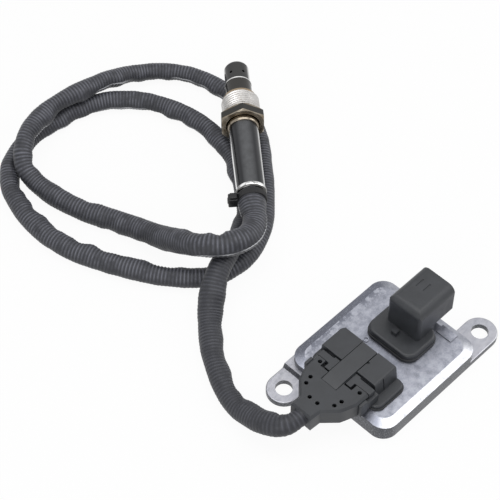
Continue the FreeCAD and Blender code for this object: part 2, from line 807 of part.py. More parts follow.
def power_connector(pins):
    """Elbow housing: a flange, an upright box that turns into the shroud, a spigot and a key post.

    Two short grooves are sunk in the elbow's top, and a round mark in the flange.
    """
    low, high = "power_y - elbow_width / 2", "power_y + elbow_width / 2"
    side_view = prism("elbow_side", [
        (ELBOW_BACK, "plateau_height + power_seal_height"),
        (f"{ELBOW_BACK} + elbow_depth", "plateau_height + power_seal_height"),
        (f"{ELBOW_BACK} + elbow_depth", f"{ELBOW_TOP} - shroud_height"),
        (SHROUD_END, f"{ELBOW_TOP} - shroud_height"),
        (SHROUD_END, ELBOW_TOP),
        (ELBOW_BACK, ELBOW_TOP),
    ], f"-({high})", "elbow_width", "XZ_Plane", {(5,): "elbow_rounding", (2,): "elbow_corner / 2"})
    end_view = prism("elbow_end", [
        (low, "plateau_height + power_seal_height"),
        (high, "plateau_height + power_seal_height"),
        (high, ELBOW_TOP),
        (low, ELBOW_TOP),
    ], ELBOW_BACK, f"{SHROUD_END} - {ELBOW_BACK}", "YZ_Plane", {(2, 3): "elbow_rounding"})
    plan_view = prism("elbow_plan", [
        (ELBOW_BACK, low), (SHROUD_END, low), (SHROUD_END, high), (ELBOW_BACK, high),
    ], "plateau_height", "elbow_height", rounding={(0, 3): "elbow_corner"})
    elbow = common("elbow", [side_view, end_view, plan_view])

    flange = rounded_block("power_flange", "power_x", "power_y",
                           "power_flange_length - 2 * power_flange_inset",
                           "power_flange_width - 2 * power_flange_inset",
                           "power_flange_corner - power_flange_inset",
                           "plateau_height + power_seal_height", "power_flange_height - power_seal_height")
    finish_edges(flange, "Fillet", lambda point: near(point.z, POWER_FLANGE_TOP), "power_flange_rounding")
    spigot = box("power_spigot",
                 (f"{ELBOW_BACK} + (elbow_depth - power_spigot_length) / 2",
                  f"{ELBOW_BACK} + (elbow_depth + power_spigot_length) / 2"),
                 ("power_y - power_spigot_width / 2", "power_y + power_spigot_width / 2"),
                 ("plateau_height - spigot_depth", "plateau_height + power_seal_height"))
    post = box("key_post",
               ("power_x + key_post_x - key_post_width / 2", "power_x + key_post_x + key_post_width / 2"),
               ("power_y + key_post_y - key_post_width / 2", "power_y + key_post_y + key_post_width / 2"),
               (f"{POWER_FLANGE_TOP} - key_post_height / 2", f"{POWER_FLANGE_TOP} + key_post_height"))
    solid = fuse("power_connector_solid", [elbow, flange, spigot, post])
    bore = prism("shroud_bore", rectangle("power_y", SHROUD_CENTRE, "elbow_width - 2 * shroud_wall",
                                          "shroud_height - 2 * shroud_wall"),
                 f"{SHROUD_END} - shroud_depth", "shroud_depth", "YZ_Plane",
                 {ALL_FOUR: "shroud_bore_corner"})
    sunk = [box(f"{side}_dash", ("power_x + dash_start", "power_x + dash_start + dash_length"),
                (f"{side}_dash_y - dash_width / 2", f"{side}_dash_y + dash_width / 2"),
                (f"{ELBOW_TOP} - dash_depth", f"{ELBOW_TOP} + dash_depth")) for side in ("left", "right")]
    mark = document.addObject("Part::Cylinder", "gate_mark")
    mark.setExpression("Radius", bound("gate_mark_radius"))
    mark.setExpression("Height", bound("2 * dash_depth"))
    sunk.append(move_to(mark, "power_x + gate_mark_x", "power_y + gate_mark_y",
                        f"{POWER_FLANGE_TOP} - dash_depth"))
    return keep(cut("power_connector", solid, [bore, pins] + sunk), "power_connector")


# Sensor socket

SOCKET_FLANGE_TOP = "(plateau_height + socket_flange_height)"
HOOD_TOP = "(plateau_height + hood_height)"
HOOD_END = "(hood_mouth_x + hood_length)"
HOOD_BORE_WIDTH = "(hood_width - 2 * hood_wall)"
HOOD_BORE_TOP = f"({HOOD_TOP} - hood_wall)"
HOOD_BORE_END = f"({HOOD_END} - hood_wall)"
NOSE_WIDTH = f"({HOOD_BORE_WIDTH} - 2 * plug_clearance)"
SOCKET_PIN_PITCH = f"(({NOSE_WIDTH} - 2 * socket_pin_margin) / (socket_pin_count - 1))"
SOCKET_PIN_X = f"({HOOD_BORE_END} - socket_pin_clearance)"
SOCKET_PIN_Z = "(plateau_height + socket_pin_height)"
SLIDE_FLOOR = "(plateau_height + slide_floor)"
SLIDE_END = f"({HOOD_END} - 0.4)"


def pin_rows():
    """Places across the plug of its row of terminals."""
    return [f"(hood_y + {place} * {SOCKET_PIN_PITCH})" for place in row_places("socket_pin_count")]


def hood_outline(width, bottom, top):
    """Outline across the plug, from its bottom corners to its top ones."""
    return rectangle("hood_y", f"(({bottom}) + ({top})) / 2", width, f"({top}) - ({bottom})")


def sensor_socket_pins():
    """Row of bent pins that the plug's terminals slide over."""
    pins = [bent_pin("socket_pin", SOCKET_PIN_X, across, SOCKET_PIN_Z, "socket_pin_reach", -1)
            for across in pin_rows()]
    return keep(group("sensor_socket_pins", pins), "sensor_socket_pins")


def sensor_socket_seal():
    """Seal ring between the socket's flange and the plateau."""
    piece = rounded_block("sensor_socket_seal", "socket_x", "0", "socket_flange_length",
                          "socket_flange_width", "socket_flange_corner", "plateau_height",
                          "socket_seal_height")
    inside = new_sketch(piece, offset="plateau_height")
    draw_outline(inside, rectangle(SOCKET_SPIGOT_X, "0", "socket_spigot_length + 2 * spigot_gap",
                                   "socket_spigot_width + 2 * spigot_gap"))
    pocket(piece, inside, "socket_seal_height", reverse=True)
    return keep(piece, "sensor_socket_seal")


def socket_hood():
    """Outside of the hood: sloped sides, rounded shoulders and one cut corner."""
    near_side, far_side = "hood_y - hood_width / 2", "hood_y + hood_width / 2"
    foot = "plateau_height + socket_seal_height"
    section = prism("hood_section", [
        (near_side, foot),
        (far_side, foot),
        (f"{far_side} - hood_far_slope", HOOD_TOP),
        (f"{near_side} + hood_near_slope", HOOD_TOP),
    ], "hood_mouth_x", "hood_length", "YZ_Plane", {(2, 3): "hood_shoulder"})
    plan = prism("hood_plan", [
        ("hood_mouth_x", near_side),
        (HOOD_END, near_side),
        (HOOD_END, f"{far_side} - hood_far_slope - hood_corner_y"),
        (f"{HOOD_END} - hood_corner_x", far_side),
        ("hood_mouth_x", far_side),
    ], foot, f"{HOOD_TOP} - ({foot})")
    return common("socket_hood", [section, plan])


def hood_slit():
    """Upright slit in the hood's near side, which follows the side's slope."""
    near_side = "hood_y - hood_width / 2"
    return prism("hood_slit", [
        (f"{near_side} - hood_slit_depth", SOCKET_FLANGE_TOP),
        (f"{near_side} + hood_slit_depth", SOCKET_FLANGE_TOP),
        (f"{near_side} + hood_near_slope + hood_slit_depth", f"{HOOD_TOP} - hood_shoulder / 2"),
        (f"{near_side} + hood_near_slope - hood_slit_depth", f"{HOOD_TOP} - hood_shoulder / 2"),
    ], "hood_mouth_x + hood_slit_x", "hood_slit_width", "YZ_Plane")


def sensor_socket(pins):
    """Flange and hood, with the slide's slot in the roof, a notch beside it and a slit in the near side."""
    flange = rounded_block("socket_flange", "socket_x", "0",
                           "socket_flange_length - 2 * socket_flange_inset",
                           "socket_flange_width - 2 * socket_flange_inset",
                           "socket_flange_corner - socket_flange_inset",
                           "plateau_height + socket_seal_height",
                           "socket_flange_height - socket_seal_height")
    finish_edges(flange, "Fillet", lambda point: near(point.z, SOCKET_FLANGE_TOP), "socket_flange_rounding")
    spigot = box("socket_spigot",
                 (f"{SOCKET_SPIGOT_X} - socket_spigot_length / 2",
                  f"{SOCKET_SPIGOT_X} + socket_spigot_length / 2"),
                 ("-socket_spigot_width / 2", "socket_spigot_width / 2"),
                 ("plateau_height - spigot_depth", "plateau_height + socket_seal_height"))
    solid = fuse("sensor_socket_solid", [flange, socket_hood(), spigot])
    bore = prism("hood_bore", hood_outline(HOOD_BORE_WIDTH, SOCKET_FLANGE_TOP, HOOD_BORE_TOP),
                 "hood_mouth_x", "hood_length - hood_wall", "YZ_Plane", {(2, 3): "hood_bore_corner"})
    slot = box("slide_slot", ("hood_mouth_x", HOOD_END),
               ("slide_y - slide_slot_width / 2", "slide_y + slide_slot_width / 2"), (SLIDE_FLOOR, HOOD_TOP))
    notch_start = "hood_mouth_x + hood_notch_x"
    notch = box("slide_notch", (notch_start, f"{notch_start} + hood_notch_length"),
                ("slide_y - slide_slot_width / 2 - hood_notch_width", "slide_y"), (SLIDE_FLOOR, HOOD_TOP))
    return keep(cut("sensor_socket", solid, [bore, slot, notch, hood_slit(), pins]), "sensor_socket")


# Sensor plug

NOSE_BOTTOM = f"({SOCKET_FLANGE_TOP} + plug_clearance)"
NOSE_TOP = f"({HOOD_BORE_TOP} - plug_clearance)"
NOSE_END = f"({SOCKET_PIN_X} - socket_pin_clearance + 0.2)"
BLOCK_FRONT = "(hood_mouth_x - plug_clearance)"
BLOCK_REAR = "(hood_mouth_x - plug_clearance - plug_block_length)"
CORE_REAR = "(hood_mouth_x - plug_clearance - plug_block_length - plug_core_length)"
SHELF = "(plateau_height + shelf_height)"
COVER_BOTTOM = "(plateau_height + cover_foot)"
COVER_TOP = "(plateau_height + cover_height)"
SEAL_MIDDLE = f"(({NOSE_END} + {BLOCK_FRONT}) / 2)"


def plug_terminals():
    """Row of hollow terminals, open for the pins."""
    half = "terminal_width / 2"
    hollow = "(pin_width / 2 + 0.1)"
    terminals = []
    for middle in pin_rows():
        shell = box("terminal_shell", (CORE_REAR, NOSE_END), (f"{middle} - {half}", f"{middle} + {half}"),
                    (f"{SOCKET_PIN_Z} - {half}", f"{SOCKET_PIN_Z} + {half}"))
        space = box("terminal_space", (BLOCK_REAR, NOSE_END),
                    (f"{middle} - {hollow}", f"{middle} + {hollow}"),
                    (f"{SOCKET_PIN_Z} - {hollow}", f"{SOCKET_PIN_Z} + {hollow}"))
        terminals.append(cut("terminal", shell, [space]))
    return keep(group("plug_terminals", terminals), "plug_terminals")


def nose_section(name, shrink, start, length):
    """Length of the plug's nose, smaller all round by an amount."""
    return prism(name, hood_outline(f"{NOSE_WIDTH} - 2 * ({shrink})", f"{NOSE_BOTTOM} + {shrink}",
                                    f"{NOSE_TOP} - ({shrink})"),
                 start, length, "YZ_Plane", {(2, 3): f"hood_bore_corner - plug_clearance - {shrink}"})


def plug_body():
    """Moulded plug: nose in the hood, block with its two wings, core inside the cover."""
    nose = nose_section("plug_nose", "0", BLOCK_FRONT, f"{NOSE_END} - {BLOCK_FRONT}")
    groove = cut("seal_groove", nose_section("groove_outer", "0", f"{SEAL_MIDDLE} - plug_seal_width / 2",
                                             "plug_seal_width"),
                 [nose_section("groove_inner", "plug_seal_depth", f"{SEAL_MIDDLE} - plug_seal_width / 2",
                               "plug_seal_width")])
    block = box("plug_block", (BLOCK_REAR, BLOCK_FRONT), ("-plug_block_width / 2", "plug_block_width / 2"),
                (NOSE_BOTTOM, SHELF))
    slide_pad = box("slide_pad", (BLOCK_REAR, BLOCK_FRONT),
                    ("slide_y - slide_pad_width / 2", "slide_y + slide_pad_width / 2"),
                    (NOSE_BOTTOM, SLIDE_FLOOR))
    core = box("plug_core", (CORE_REAR, BLOCK_REAR),
               ("hood_y - plug_core_width / 2", "hood_y + plug_core_width / 2"),
               (f"{COVER_BOTTOM} + cover_wall + plug_clearance",
                f"{COVER_TOP} - cover_wall - plug_clearance"))
    wings = []
    for side in (-1, 1):
        ends = sorted((f"{side} * plug_block_width / 2",
                       f"{side} * (plug_block_width / 2 - wing_thickness)"), key=size)
        wings.append(box("plug_wing", (f"{BLOCK_REAR} - wing_length", f"{BLOCK_REAR} + 1"), ends,
                         ("plateau_height + plug_foot", "plateau_height + wing_height")))
    solid = fuse("plug_body_solid", [nose, block, slide_pad, core] + wings)
    return keep(cut("plug_body", solid, [groove, terminals_envelope()]), "plug_body")


def terminals_envelope():
    """Space that the terminals fill in the plug."""
    half = "terminal_width / 2"
    return group("terminal_channels", [
        box("terminal_channel", (CORE_REAR, NOSE_END),
            (f"{middle} - {half}", f"{middle} + {half}"),
            (f"{SOCKET_PIN_Z} - {half}", f"{SOCKET_PIN_Z} + {half}"))
        for middle in pin_rows()])


def plug_seal():
    """Ring in the nose's groove that fills the gap to the hood."""
    outer = nose_section("plug_seal_outer", "-plug_clearance", f"{SEAL_MIDDLE} - plug_seal_width / 2",
                         "plug_seal_width")
    inner = nose_section("plug_seal_inner", "plug_seal_depth", f"{SEAL_MIDDLE} - plug_seal_width / 2",
                         "plug_seal_width")
    return keep(cut("plug_seal", outer, [inner]), "plug_seal")


def cover_outline(inset, right):
    """Half outline of the wire cover in plan, from its outlet to its right end."""
    return [
        ("cover_outlet_x", f"outlet_half_width - {inset}"),
        ("cover_neck_x", f"neck_half_width - {inset}"),
        (f"cover_flank_x + {inset} / 2", f"flank_half_width - {inset}"),
        (f"cover_flank_end_x + {inset} / 2", f"flank_end_half_width - {inset}"),
        (f"cover_shoulder_x + {inset} / 2", f"cover_half_width - {inset}"),
        (right, f"cover_half_width - {inset}"),
    ]


def plug_cover():
    """Hollow wire cover, open towards the plug, with its outlet, notches and drain holes."""
    piece = new_body("plug_cover_shell")
    plan = new_sketch(piece, offset=COVER_BOTTOM)
    draw_outline(plan, mirrored(cover_outline("0", "cover_lip_x")))
    pad(piece, plan, f"{COVER_TOP} - {COVER_BOTTOM}")
    finish_edges(piece, "Chamfer", lambda point: near(point.z, COVER_TOP)
                 and point.x < size("cover_lip_x") - TOLERANCE or near(point.z, COVER_TOP)
                 and abs(point.y) > size("cover_half_width") - TOLERANCE, "cover_chamfer")
    inside = new_sketch(piece, offset=f"{COVER_BOTTOM} + cover_wall")
    draw_outline(inside, mirrored([("cover_neck_x + cover_wall", f"neck_half_width - cover_wall")]
                                  + cover_outline("cover_wall", "cover_lip_x + 1")[2:]))
    pocket(piece, inside, f"{COVER_TOP} - {COVER_BOTTOM} - 2 * cover_wall", reverse=True)
    right = f"{BLOCK_REAR} - plug_clearance"
    below = new_sketch(piece, offset=COVER_BOTTOM)
    draw_outline(below, [(right, "-cover_half_width - 1"), ("cover_lip_x + 1", "-cover_half_width - 1"),
                         ("cover_lip_x + 1", "cover_half_width + 1"), (right, "cover_half_width + 1")])
    pocket(piece, below, f"{COVER_TOP} - {COVER_BOTTOM} - cover_wall", reverse=True)
    window = new_sketch(piece, offset=COVER_TOP)
    low, high = "slide_y - window_half_width", "slide_y + window_half_width"
    draw_outline(window, [(right, low), ("cover_lip_x + 1", low), ("cover_lip_x + 1", high), (right, high)])
    pocket(piece, window, "cover_wall")
    slot = new_sketch(piece, offset=COVER_TOP)
    low, high = "slide_y - slide_slot_width / 2", "slide_y + slide_slot_width / 2"
    draw_outline(slot, [("slide_start_x - 0.2", low), (f"{right} + 1", low), (f"{right} + 1", high),
                        ("slide_start_x - 0.2", high)])
    pocket(piece, slot, f"{COVER_TOP} - {SLIDE_FLOOR}")
    holes = new_sketch(piece, offset=COVER_TOP)
    for x, y in (("cover_lip_x - 2.1", "window_half_width + 2.6"),
                 ("cover_shoulder_x - 3.8", "cover_half_width - 6.4"),
                 ("cover_flank_x + 0.5", "flank_half_width - 4.2"),
                 ("cover_neck_x + 2.5", "neck_half_width - 4.2")):
        for side in (-1, 1):
            draw_circle(holes, x, f"{side} * ({y})", "cover_hole_radius")
    pocket(piece, holes, "cover_wall")
    bore = cylinder_along_x("outlet_bore", ("cover_outlet_x", "cover_neck_x + cover_wall + 1"), "0",
                            "plateau_height + outlet_centre", "grommet_radius")
    return keep(cut("plug_cover", piece, [bore]), "plug_cover")


def plug_lock_slide():
    """Flat strip along the middle of the plug, with a thumb ramp at its outer end."""
    top = f"{SLIDE_FLOOR} + slide_thickness"
    return keep(prism("plug_lock_slide", [
        ("slide_start_x", SLIDE_FLOOR),
        (SLIDE_END, SLIDE_FLOOR),
        (SLIDE_END, top),
        ("slide_start_x + slide_ramp_length", top),
        ("slide_start_x", f"{SLIDE_FLOOR} + slide_tip_thickness"),
    ], "-(slide_y + slide_width / 2)", "slide_width", "XZ_Plane"), "plug_lock_slide")


def latches():
    """Bent spring latch in each window of the plug."""
    front = f"{BLOCK_FRONT} - plug_clearance"
    for label, side in (("left_latch", 1), ("right_latch", -1)):
        stem_y = sorted((f"slide_y + {side} * latch_stem_start",
                         f"slide_y + {side} * (latch_stem_start + latch_stem_width)"), key=size)
        arm_y = sorted((f"slide_y + {side} * (latch_stem_start + latch_stem_width / 2)",
                        f"{side} * latch_arm_end"), key=size)
        stem = box(f"{label}_stem", (f"{front} - latch_stem_length", front), stem_y,
                   (SHELF, f"{SHELF} + latch_rise"))
        arm = box(f"{label}_arm", (f"{front} - latch_arm_setback - latch_arm_width",
                                   f"{front} - latch_arm_setback"),
                  arm_y, (SHELF, f"{SHELF} + latch_rise"))
        keep(fuse(label, [stem, arm]), label)


def cable_grommet():
    """Rubber ring in the cover's outlet."""
    outer = cylinder_along_x("grommet_outer", ("cover_outlet_x", "cover_outlet_x + grommet_length"), "0",
                             "plateau_height + outlet_centre", "grommet_radius")
    inner = cylinder_along_x("grommet_inner", ("cover_outlet_x", "cover_outlet_x + grommet_length"), "0",
                             "plateau_height + outlet_centre", "grommet_bore")
    return keep(cut("cable_grommet", outer, [inner]), "cable_grommet")


def lead_wires():
    """Wires that fan out inside the cover from the grommet to the terminals."""
    wires = []
    for number, place in enumerate(row_places("socket_pin_count")):
        row = 1 if number % 2 else -1
        start = FreeCAD.Vector(size("cover_outlet_x + grommet_length"),
                               place * size("wire_bunch") / 2,
                               size("plateau_height + outlet_centre") + row * size("wire_bunch") / 2)
        end = FreeCAD.Vector(size(f"{CORE_REAR} - 2 * plug_clearance"),
                             size(f"hood_y + {place} * {SOCKET_PIN_PITCH}"), size(SOCKET_PIN_Z))
        wire = document.addObject("Part::Cylinder", "lead_wire")
        wire.setExpression("Radius", bound("wire_radius"))
        wire.Height = (end - start).Length
        wire.Placement = FreeCAD.Placement(start, FreeCAD.Rotation(FreeCAD.Vector(0, 0, 1), end - start))
        wires.append(wire)
    return keep(group("lead_wires", wires), "lead_wires")


# Probe

SLEEVE_START = "(collar_start - collar_bevel)"
TAIL = "(sleeve_end - end_ring_length)"
CUFF_END = "(sleeve_end - end_ring_length - cuff_length)"
SEAT_START = "(thread_end + seat_gap)"
BARREL_START = "(thread_end + seat_gap + seat_length + seat_cone_length)"
NUT_BORE = "(collar_radius + nut_bore_gap)"


def on_probe(piece):
    """Stand a piece built about Z on the probe's axis, tip ahead."""
    piece.Placement.Rotation = FreeCAD.Rotation(size("probe_heading"), 90, 0)
    return move_to(piece, "probe_x", "probe_y", "probe_height")


def turned_part(label, points):
    """Turn one piece of the probe from its outline of radius and place along the axis."""
    piece = new_body(label)
    turn(piece, "Revolution", points)
    return keep(on_probe(piece), label)


def mounting_nut():
    """Hexagon and thread in one piece, bored to turn freely on the probe housing."""
    piece = new_body("mounting_nut")
    corner = "(nut_flats / sqrt(3))"
    hexagon = new_sketch(piece)
    draw_outline(hexagon, [
        (corner, "0"),
        (f"{corner} / 2", "nut_flats / 2"),
        (f"-{corner} / 2", "nut_flats / 2"),
        (f"-{corner}", "0"),
        (f"-{corner} / 2", "-nut_flats / 2"),
        (f"{corner} / 2", "-nut_flats / 2"),
    ])
    pad(piece, hexagon, "hex_length")
    for face, inward in (("0", 1), ("hex_length", -1)):
        turn(piece, "Groove", [
            (f"{corner} - 2 * hex_chamfer", face),
            (f"{corner} + 1", face),
            (f"{corner} + 1", f"{face} + {inward} * hex_chamfer"),
            (corner, f"{face} + {inward} * hex_chamfer"),
        ])
    relief = "thread_diameter / 2 - thread_relief_depth"
    turn(piece, "Revolution", [
        ("shank_radius + swivel_clearance", "hex_length"),
        (relief, "hex_length"),
        (relief, "hex_length + thread_relief_length"),
        ("thread_diameter / 2", "hex_length + thread_relief_length + thread_relief_depth"),
        ("thread_diameter / 2", "thread_end - thread_chamfer"),
        ("thread_diameter / 2 - thread_chamfer", "thread_end"),
        ("shank_radius + swivel_clearance", "thread_end"),
    ])
    turn(piece, "Groove", [
        ("0", "0"),
        (NUT_BORE, "0"),
        (NUT_BORE, "nut_shoulder"),
        ("shank_radius + swivel_clearance", "nut_shoulder"),
        ("shank_radius + swivel_clearance", "thread_end"),
        ("0", "thread_end"),
    ])
    turn(piece, "Groove", [
        ("face_groove_radius - face_groove_width", "0"),
        ("face_groove_radius", "0"),
        ("face_groove_radius", "face_groove_depth"),
        ("face_groove_radius - face_groove_width", "face_groove_depth"),
    ])
    return keep(on_probe(piece), "mounting_nut")


def probe_housing():
    """Turned housing: collar behind the nut, shank inside it, cone seat and barrel ahead of it."""
    spigot_end = "barrel_end + tube_spigot_length"
    return turned_part("probe_housing", [
        ("housing_counterbore", f"{SLEEVE_START} - sleeve_overlap"),
        ("sleeve_bore", f"{SLEEVE_START} - sleeve_overlap"),
        ("sleeve_bore", SLEEVE_START),
        ("sleeve_front_radius", SLEEVE_START),
        ("collar_radius", "collar_start"),
        ("collar_radius", "nut_shoulder - nut_shoulder_play"),
        ("shank_radius", "nut_shoulder - nut_shoulder_play"),
        ("shank_radius", SEAT_START),
        ("seat_radius", SEAT_START),
        ("seat_radius", f"{SEAT_START} + seat_length"),
        ("barrel_radius", BARREL_START),
        ("barrel_radius", "barrel_end"),
        ("tube_radius - tube_wall", "barrel_end"),
        ("tube_radius - tube_wall", spigot_end),
        ("housing_bore", spigot_end),
        ("housing_bore", "counterbore_end"),
        ("housing_counterbore", "counterbore_end"),
    ])


def probe_tubes():
    """Sleeve, end ring and rear bush behind the nut."""
    turned_part("probe_sleeve", [
        ("sleeve_bore", "sleeve_end"),
        ("sleeve_rear_radius", "sleeve_end"),
        ("sleeve_front_radius", SLEEVE_START),
        ("sleeve_bore", SLEEVE_START),
    ])
    turned_part("sleeve_end_ring", [
        ("end_ring_bore", TAIL),
        ("sleeve_rear_radius + end_ring_flare", TAIL),
        ("sleeve_rear_radius + end_ring_flare", f"{TAIL} + end_ring_length / 3"),
        ("sleeve_rear_radius", "sleeve_end"),
        ("end_ring_bore", "sleeve_end"),
    ])
    turned_part("rear_bush", [
        ("bush_bore", "sleeve_end"),
        ("sleeve_bore", "sleeve_end"),
        ("sleeve_bore", "sleeve_end + bush_length"),
        ("bush_bore", "sleeve_end + bush_length"),
    ])


def protection_tube(label, radius, start, end, lip, hole_place):
    """Thimble with a lip at its foot, a tip hole and a ring of gas holes."""
    piece = new_body(label)
    turn(piece, "Revolution", [
        (f"{radius} - tube_wall", start),
        (lip, start),
        (lip, f"{start} + tube_lip_length"),
        (radius, f"{start} + tube_lip_length"),
        (radius, f"{end} - tube_nose_rounding"),
        (f"{radius} - tube_nose_rounding / 3.4", f"{end} - tube_nose_rounding / 3.4"),
        (f"{radius} - tube_nose_rounding", end),
        ("tip_hole_radius", end),
        ("tip_hole_radius", f"{end} - tube_wall"),
        (f"{radius} - tube_nose_rounding", f"{end} - tube_wall"),
        (f"{radius} - tube_wall", f"{end} - tube_nose_rounding"),
    ])
    drilling = new_sketch(piece, "XZ_Plane")
    draw_circle(drilling, "0", hole_place, "gas_hole_radius")
    hole = pocket(piece, drilling, f"{radius} + 1")
    pattern = piece.newObject("PartDesign::PolarPattern", f"{label}_holes")
    pattern.Originals = [hole]
    axis = [feature for feature in piece.Origin.OriginFeatures if feature.Role == "Z_Axis"][0]
    pattern.Axis = (axis, [""])
    pattern.Angle = 360
    pattern.Occurrences = GAS_HOLE_COUNT
    piece.Tip = pattern
    document.recompute()
    return keep(on_probe(piece), label)


def ceramics():
    """Sensor strip, and the ceramic pieces that hold it."""
    strip = [rectangle("0", "0", "element_thickness", "element_width")]
    element = prism("ceramic_element", strip[0], "element_start", "element_end - element_start")
    keep(on_probe(element), "ceramic_element")
    for label, radius, start, end in (
        ("ceramic_insulator", "insulator_radius", "insulator_start", "counterbore_end"),
        ("ceramic_packing", "housing_bore", "packing_start", "packing_end"),
    ):
        piece = new_body(label)
        turn(piece, "Revolution", [("0", start), (radius, start), (radius, end), ("0", end)])
        slot = new_sketch(piece, offset=end)
        draw_outline(slot, rectangle("0", "0", "element_thickness", "element_width"))
        pocket(piece, slot, f"{end} - ({start})")
        keep(on_probe(piece), label)


def cable_end():
    """Sleeve cuff on the probe's tail and the tie that clamps it."""
    turned_part("cable_cuff", [
        ("0", CUFF_END),
        ("cable_diameter / 2", CUFF_END),
        ("cuff_radius", f"{TAIL} - cuff_straight"),
        ("cuff_radius", TAIL),
        ("0", TAIL),
    ])
    piece = new_body("cable_tie")
    start = f"{TAIL} - tie_start"
    turn(piece, "Revolution", [
        ("cuff_radius", f"{start} - tie_width"),
        ("cuff_radius + tie_thickness", f"{start} - tie_width"),
        ("cuff_radius + tie_thickness", start),
        ("cuff_radius", start),
    ])
    head = new_sketch(piece, offset=f"{start} - tie_width / 2 - tie_head_length / 2")
    draw_outline(head, rectangle("0", "cuff_radius + tie_thickness / 2 + tie_head_height / 2",
                                 "tie_head_width", "tie_head_height"))
    pad(piece, head, "tie_head_length")
    keep(on_probe(piece), "cable_tie")


# Cable


def cable_points():
    """Points of the cable's route, from the cuff along the probe's axis to the cover's outlet."""
    heading = math.radians(SIZES["probe_heading"])
    ahead = FreeCAD.Vector(math.cos(heading), math.sin(heading), 0)
    hub = FreeCAD.Vector(SIZES["probe_x"], SIZES["probe_y"], SIZES["probe_height"])
    start = hub + ahead * size(CUFF_END)
    outlet = FreeCAD.Vector(size("cover_outlet_x"), 0, size("plateau_height + outlet_centre"))
    lead_out = outlet - FreeCAD.Vector(size("cable_lead_out"), 0, 0)
    return ([start, start - ahead * size("cable_lead_in")]
            + [FreeCAD.Vector(*place) for place in CABLE_ROUTE] + [lead_out, outlet])


def cable_path(points):
    """Join straight runs by tangent arcs, and give the wire with the arcs' radii."""
    runs = [(after - before).Length for before, after in zip(points, points[1:])]
    edges = []
    radii = []
    start = points[0]
    for index, corner in enumerate(points[1:-1], start=1):
        ahead = (corner - points[index - 1]).normalize()
        onward = (points[index + 1] - corner).normalize()
        turn_angle = ahead.getAngle(onward)
        shorter = min(runs[index - 1], runs[index])
        radius = ARC_SHARE * shorter / math.tan(turn_angle / 2)
        leave = corner - ahead * (ARC_SHARE * shorter)
        arrive = corner + onward * (ARC_SHARE * shorter)
        inward = (onward - ahead).normalize()
        middle = corner + inward * (radius / math.cos(turn_angle / 2) - radius)
        edges.append(Part.LineSegment(start, leave).toShape())
        edges.append(Part.Arc(leave, middle, arrive).toShape())
        radii.append(radius)
        start = arrive
    edges.append(Part.LineSegment(start, points[-1]).toShape())
    return Part.Wire(edges), radii


def sensor_cable():
    """Free sleeved cable, a round tube along its route."""
    points = cable_points()
    wire, radii = cable_path(points)
    path = document.addObject("Part::Feature", "cable_path")
    path.Shape = wire
    section = document.addObject("Part::Circle", "cable_section")
    section.setExpression("Radius", bound("cable_diameter / 2"))
    section.Placement = FreeCAD.Placement(points[0], FreeCAD.Rotation(FreeCAD.Vector(0, 0, 1),
                                                                      points[1] - points[0]))
    tube = document.addObject("Part::Sweep", "sensor_cable")
    tube.Sections = [section]
    tube.Spine = (path, [])
    tube.Solid = True
    tube.Frenet = False
    document.recompute()
    expected = math.pi * size("cable_diameter / 2") ** 2 * wire.Length
    print("cable length", round(wire.Length, 1), "volume share", round(tube.Shape.Volume / expected, 5))
    print("cable radii", [round(radius, 1) for radius in radii])
    return keep(tube, "sensor_cable")


def build():
    """Build every sub-part, check it and write it."""
    control_housing()
    base_plate()
    housing_seal()
    circuit_board()
    board_chips()
    capacitors()
    power_pins = power_connector_pins()
    power_connector_seal()
    power_connector(power_pins)
    socket_pins = sensor_socket_pins()
    sensor_socket_seal()
    sensor_socket(socket_pins)
    plug_terminals()
    plug_body()
    plug_seal()
    plug_cover()
    plug_lock_slide()
    latches()
    cable_grommet()
    lead_wires()
    probe_tubes()
    probe_housing()
    mounting_nut()
    ceramics()
    protection_tube("outer_protection_tube", "tube_radius", "barrel_end", "tube_end", "tube_lip_radius",
                    "gas_hole_place")
    protection_tube("inner_protection_tube", "inner_tube_radius", "packing_end", "inner_tube_end",
                    "housing_bore", "inner_gas_hole_place")
    cable_end()
    sensor_cable()
    document.recompute()

    failed = [piece.Name for piece in document.Objects if {"Invalid", "Error"} & set(piece.State)]
    if failed:
        raise RuntimeError(f"failed objects: {failed}")
    for label, piece in nodes.items():
        if piece.Shape.isNull() or not piece.Shape.isValid():
            raise RuntimeError(f"bad shape: {label}")
    os.makedirs("parts", exist_ok=True)
    for label, piece in nodes.items():
        piece.Shape.exportStep(f"parts/{label}.step")
    print(len(nodes), "sub-parts")


build()
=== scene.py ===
"""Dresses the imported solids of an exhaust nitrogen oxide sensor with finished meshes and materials.

Every length is in metres in the part's own frame: +X runs from the sensor plug to the power connector, +Z up
from the mounting face. The probe's parts are laid out along its own axis and then moved into that frame.
"""

import json
import logging
import math
import sys
from dataclasses import dataclass
from enum import Enum
from typing import Callable

import bmesh
import bpy
import numpy as np
from bpy.types import Material, Mesh, Node, NodeSocket, Object
from mathutils import Matrix, Vector


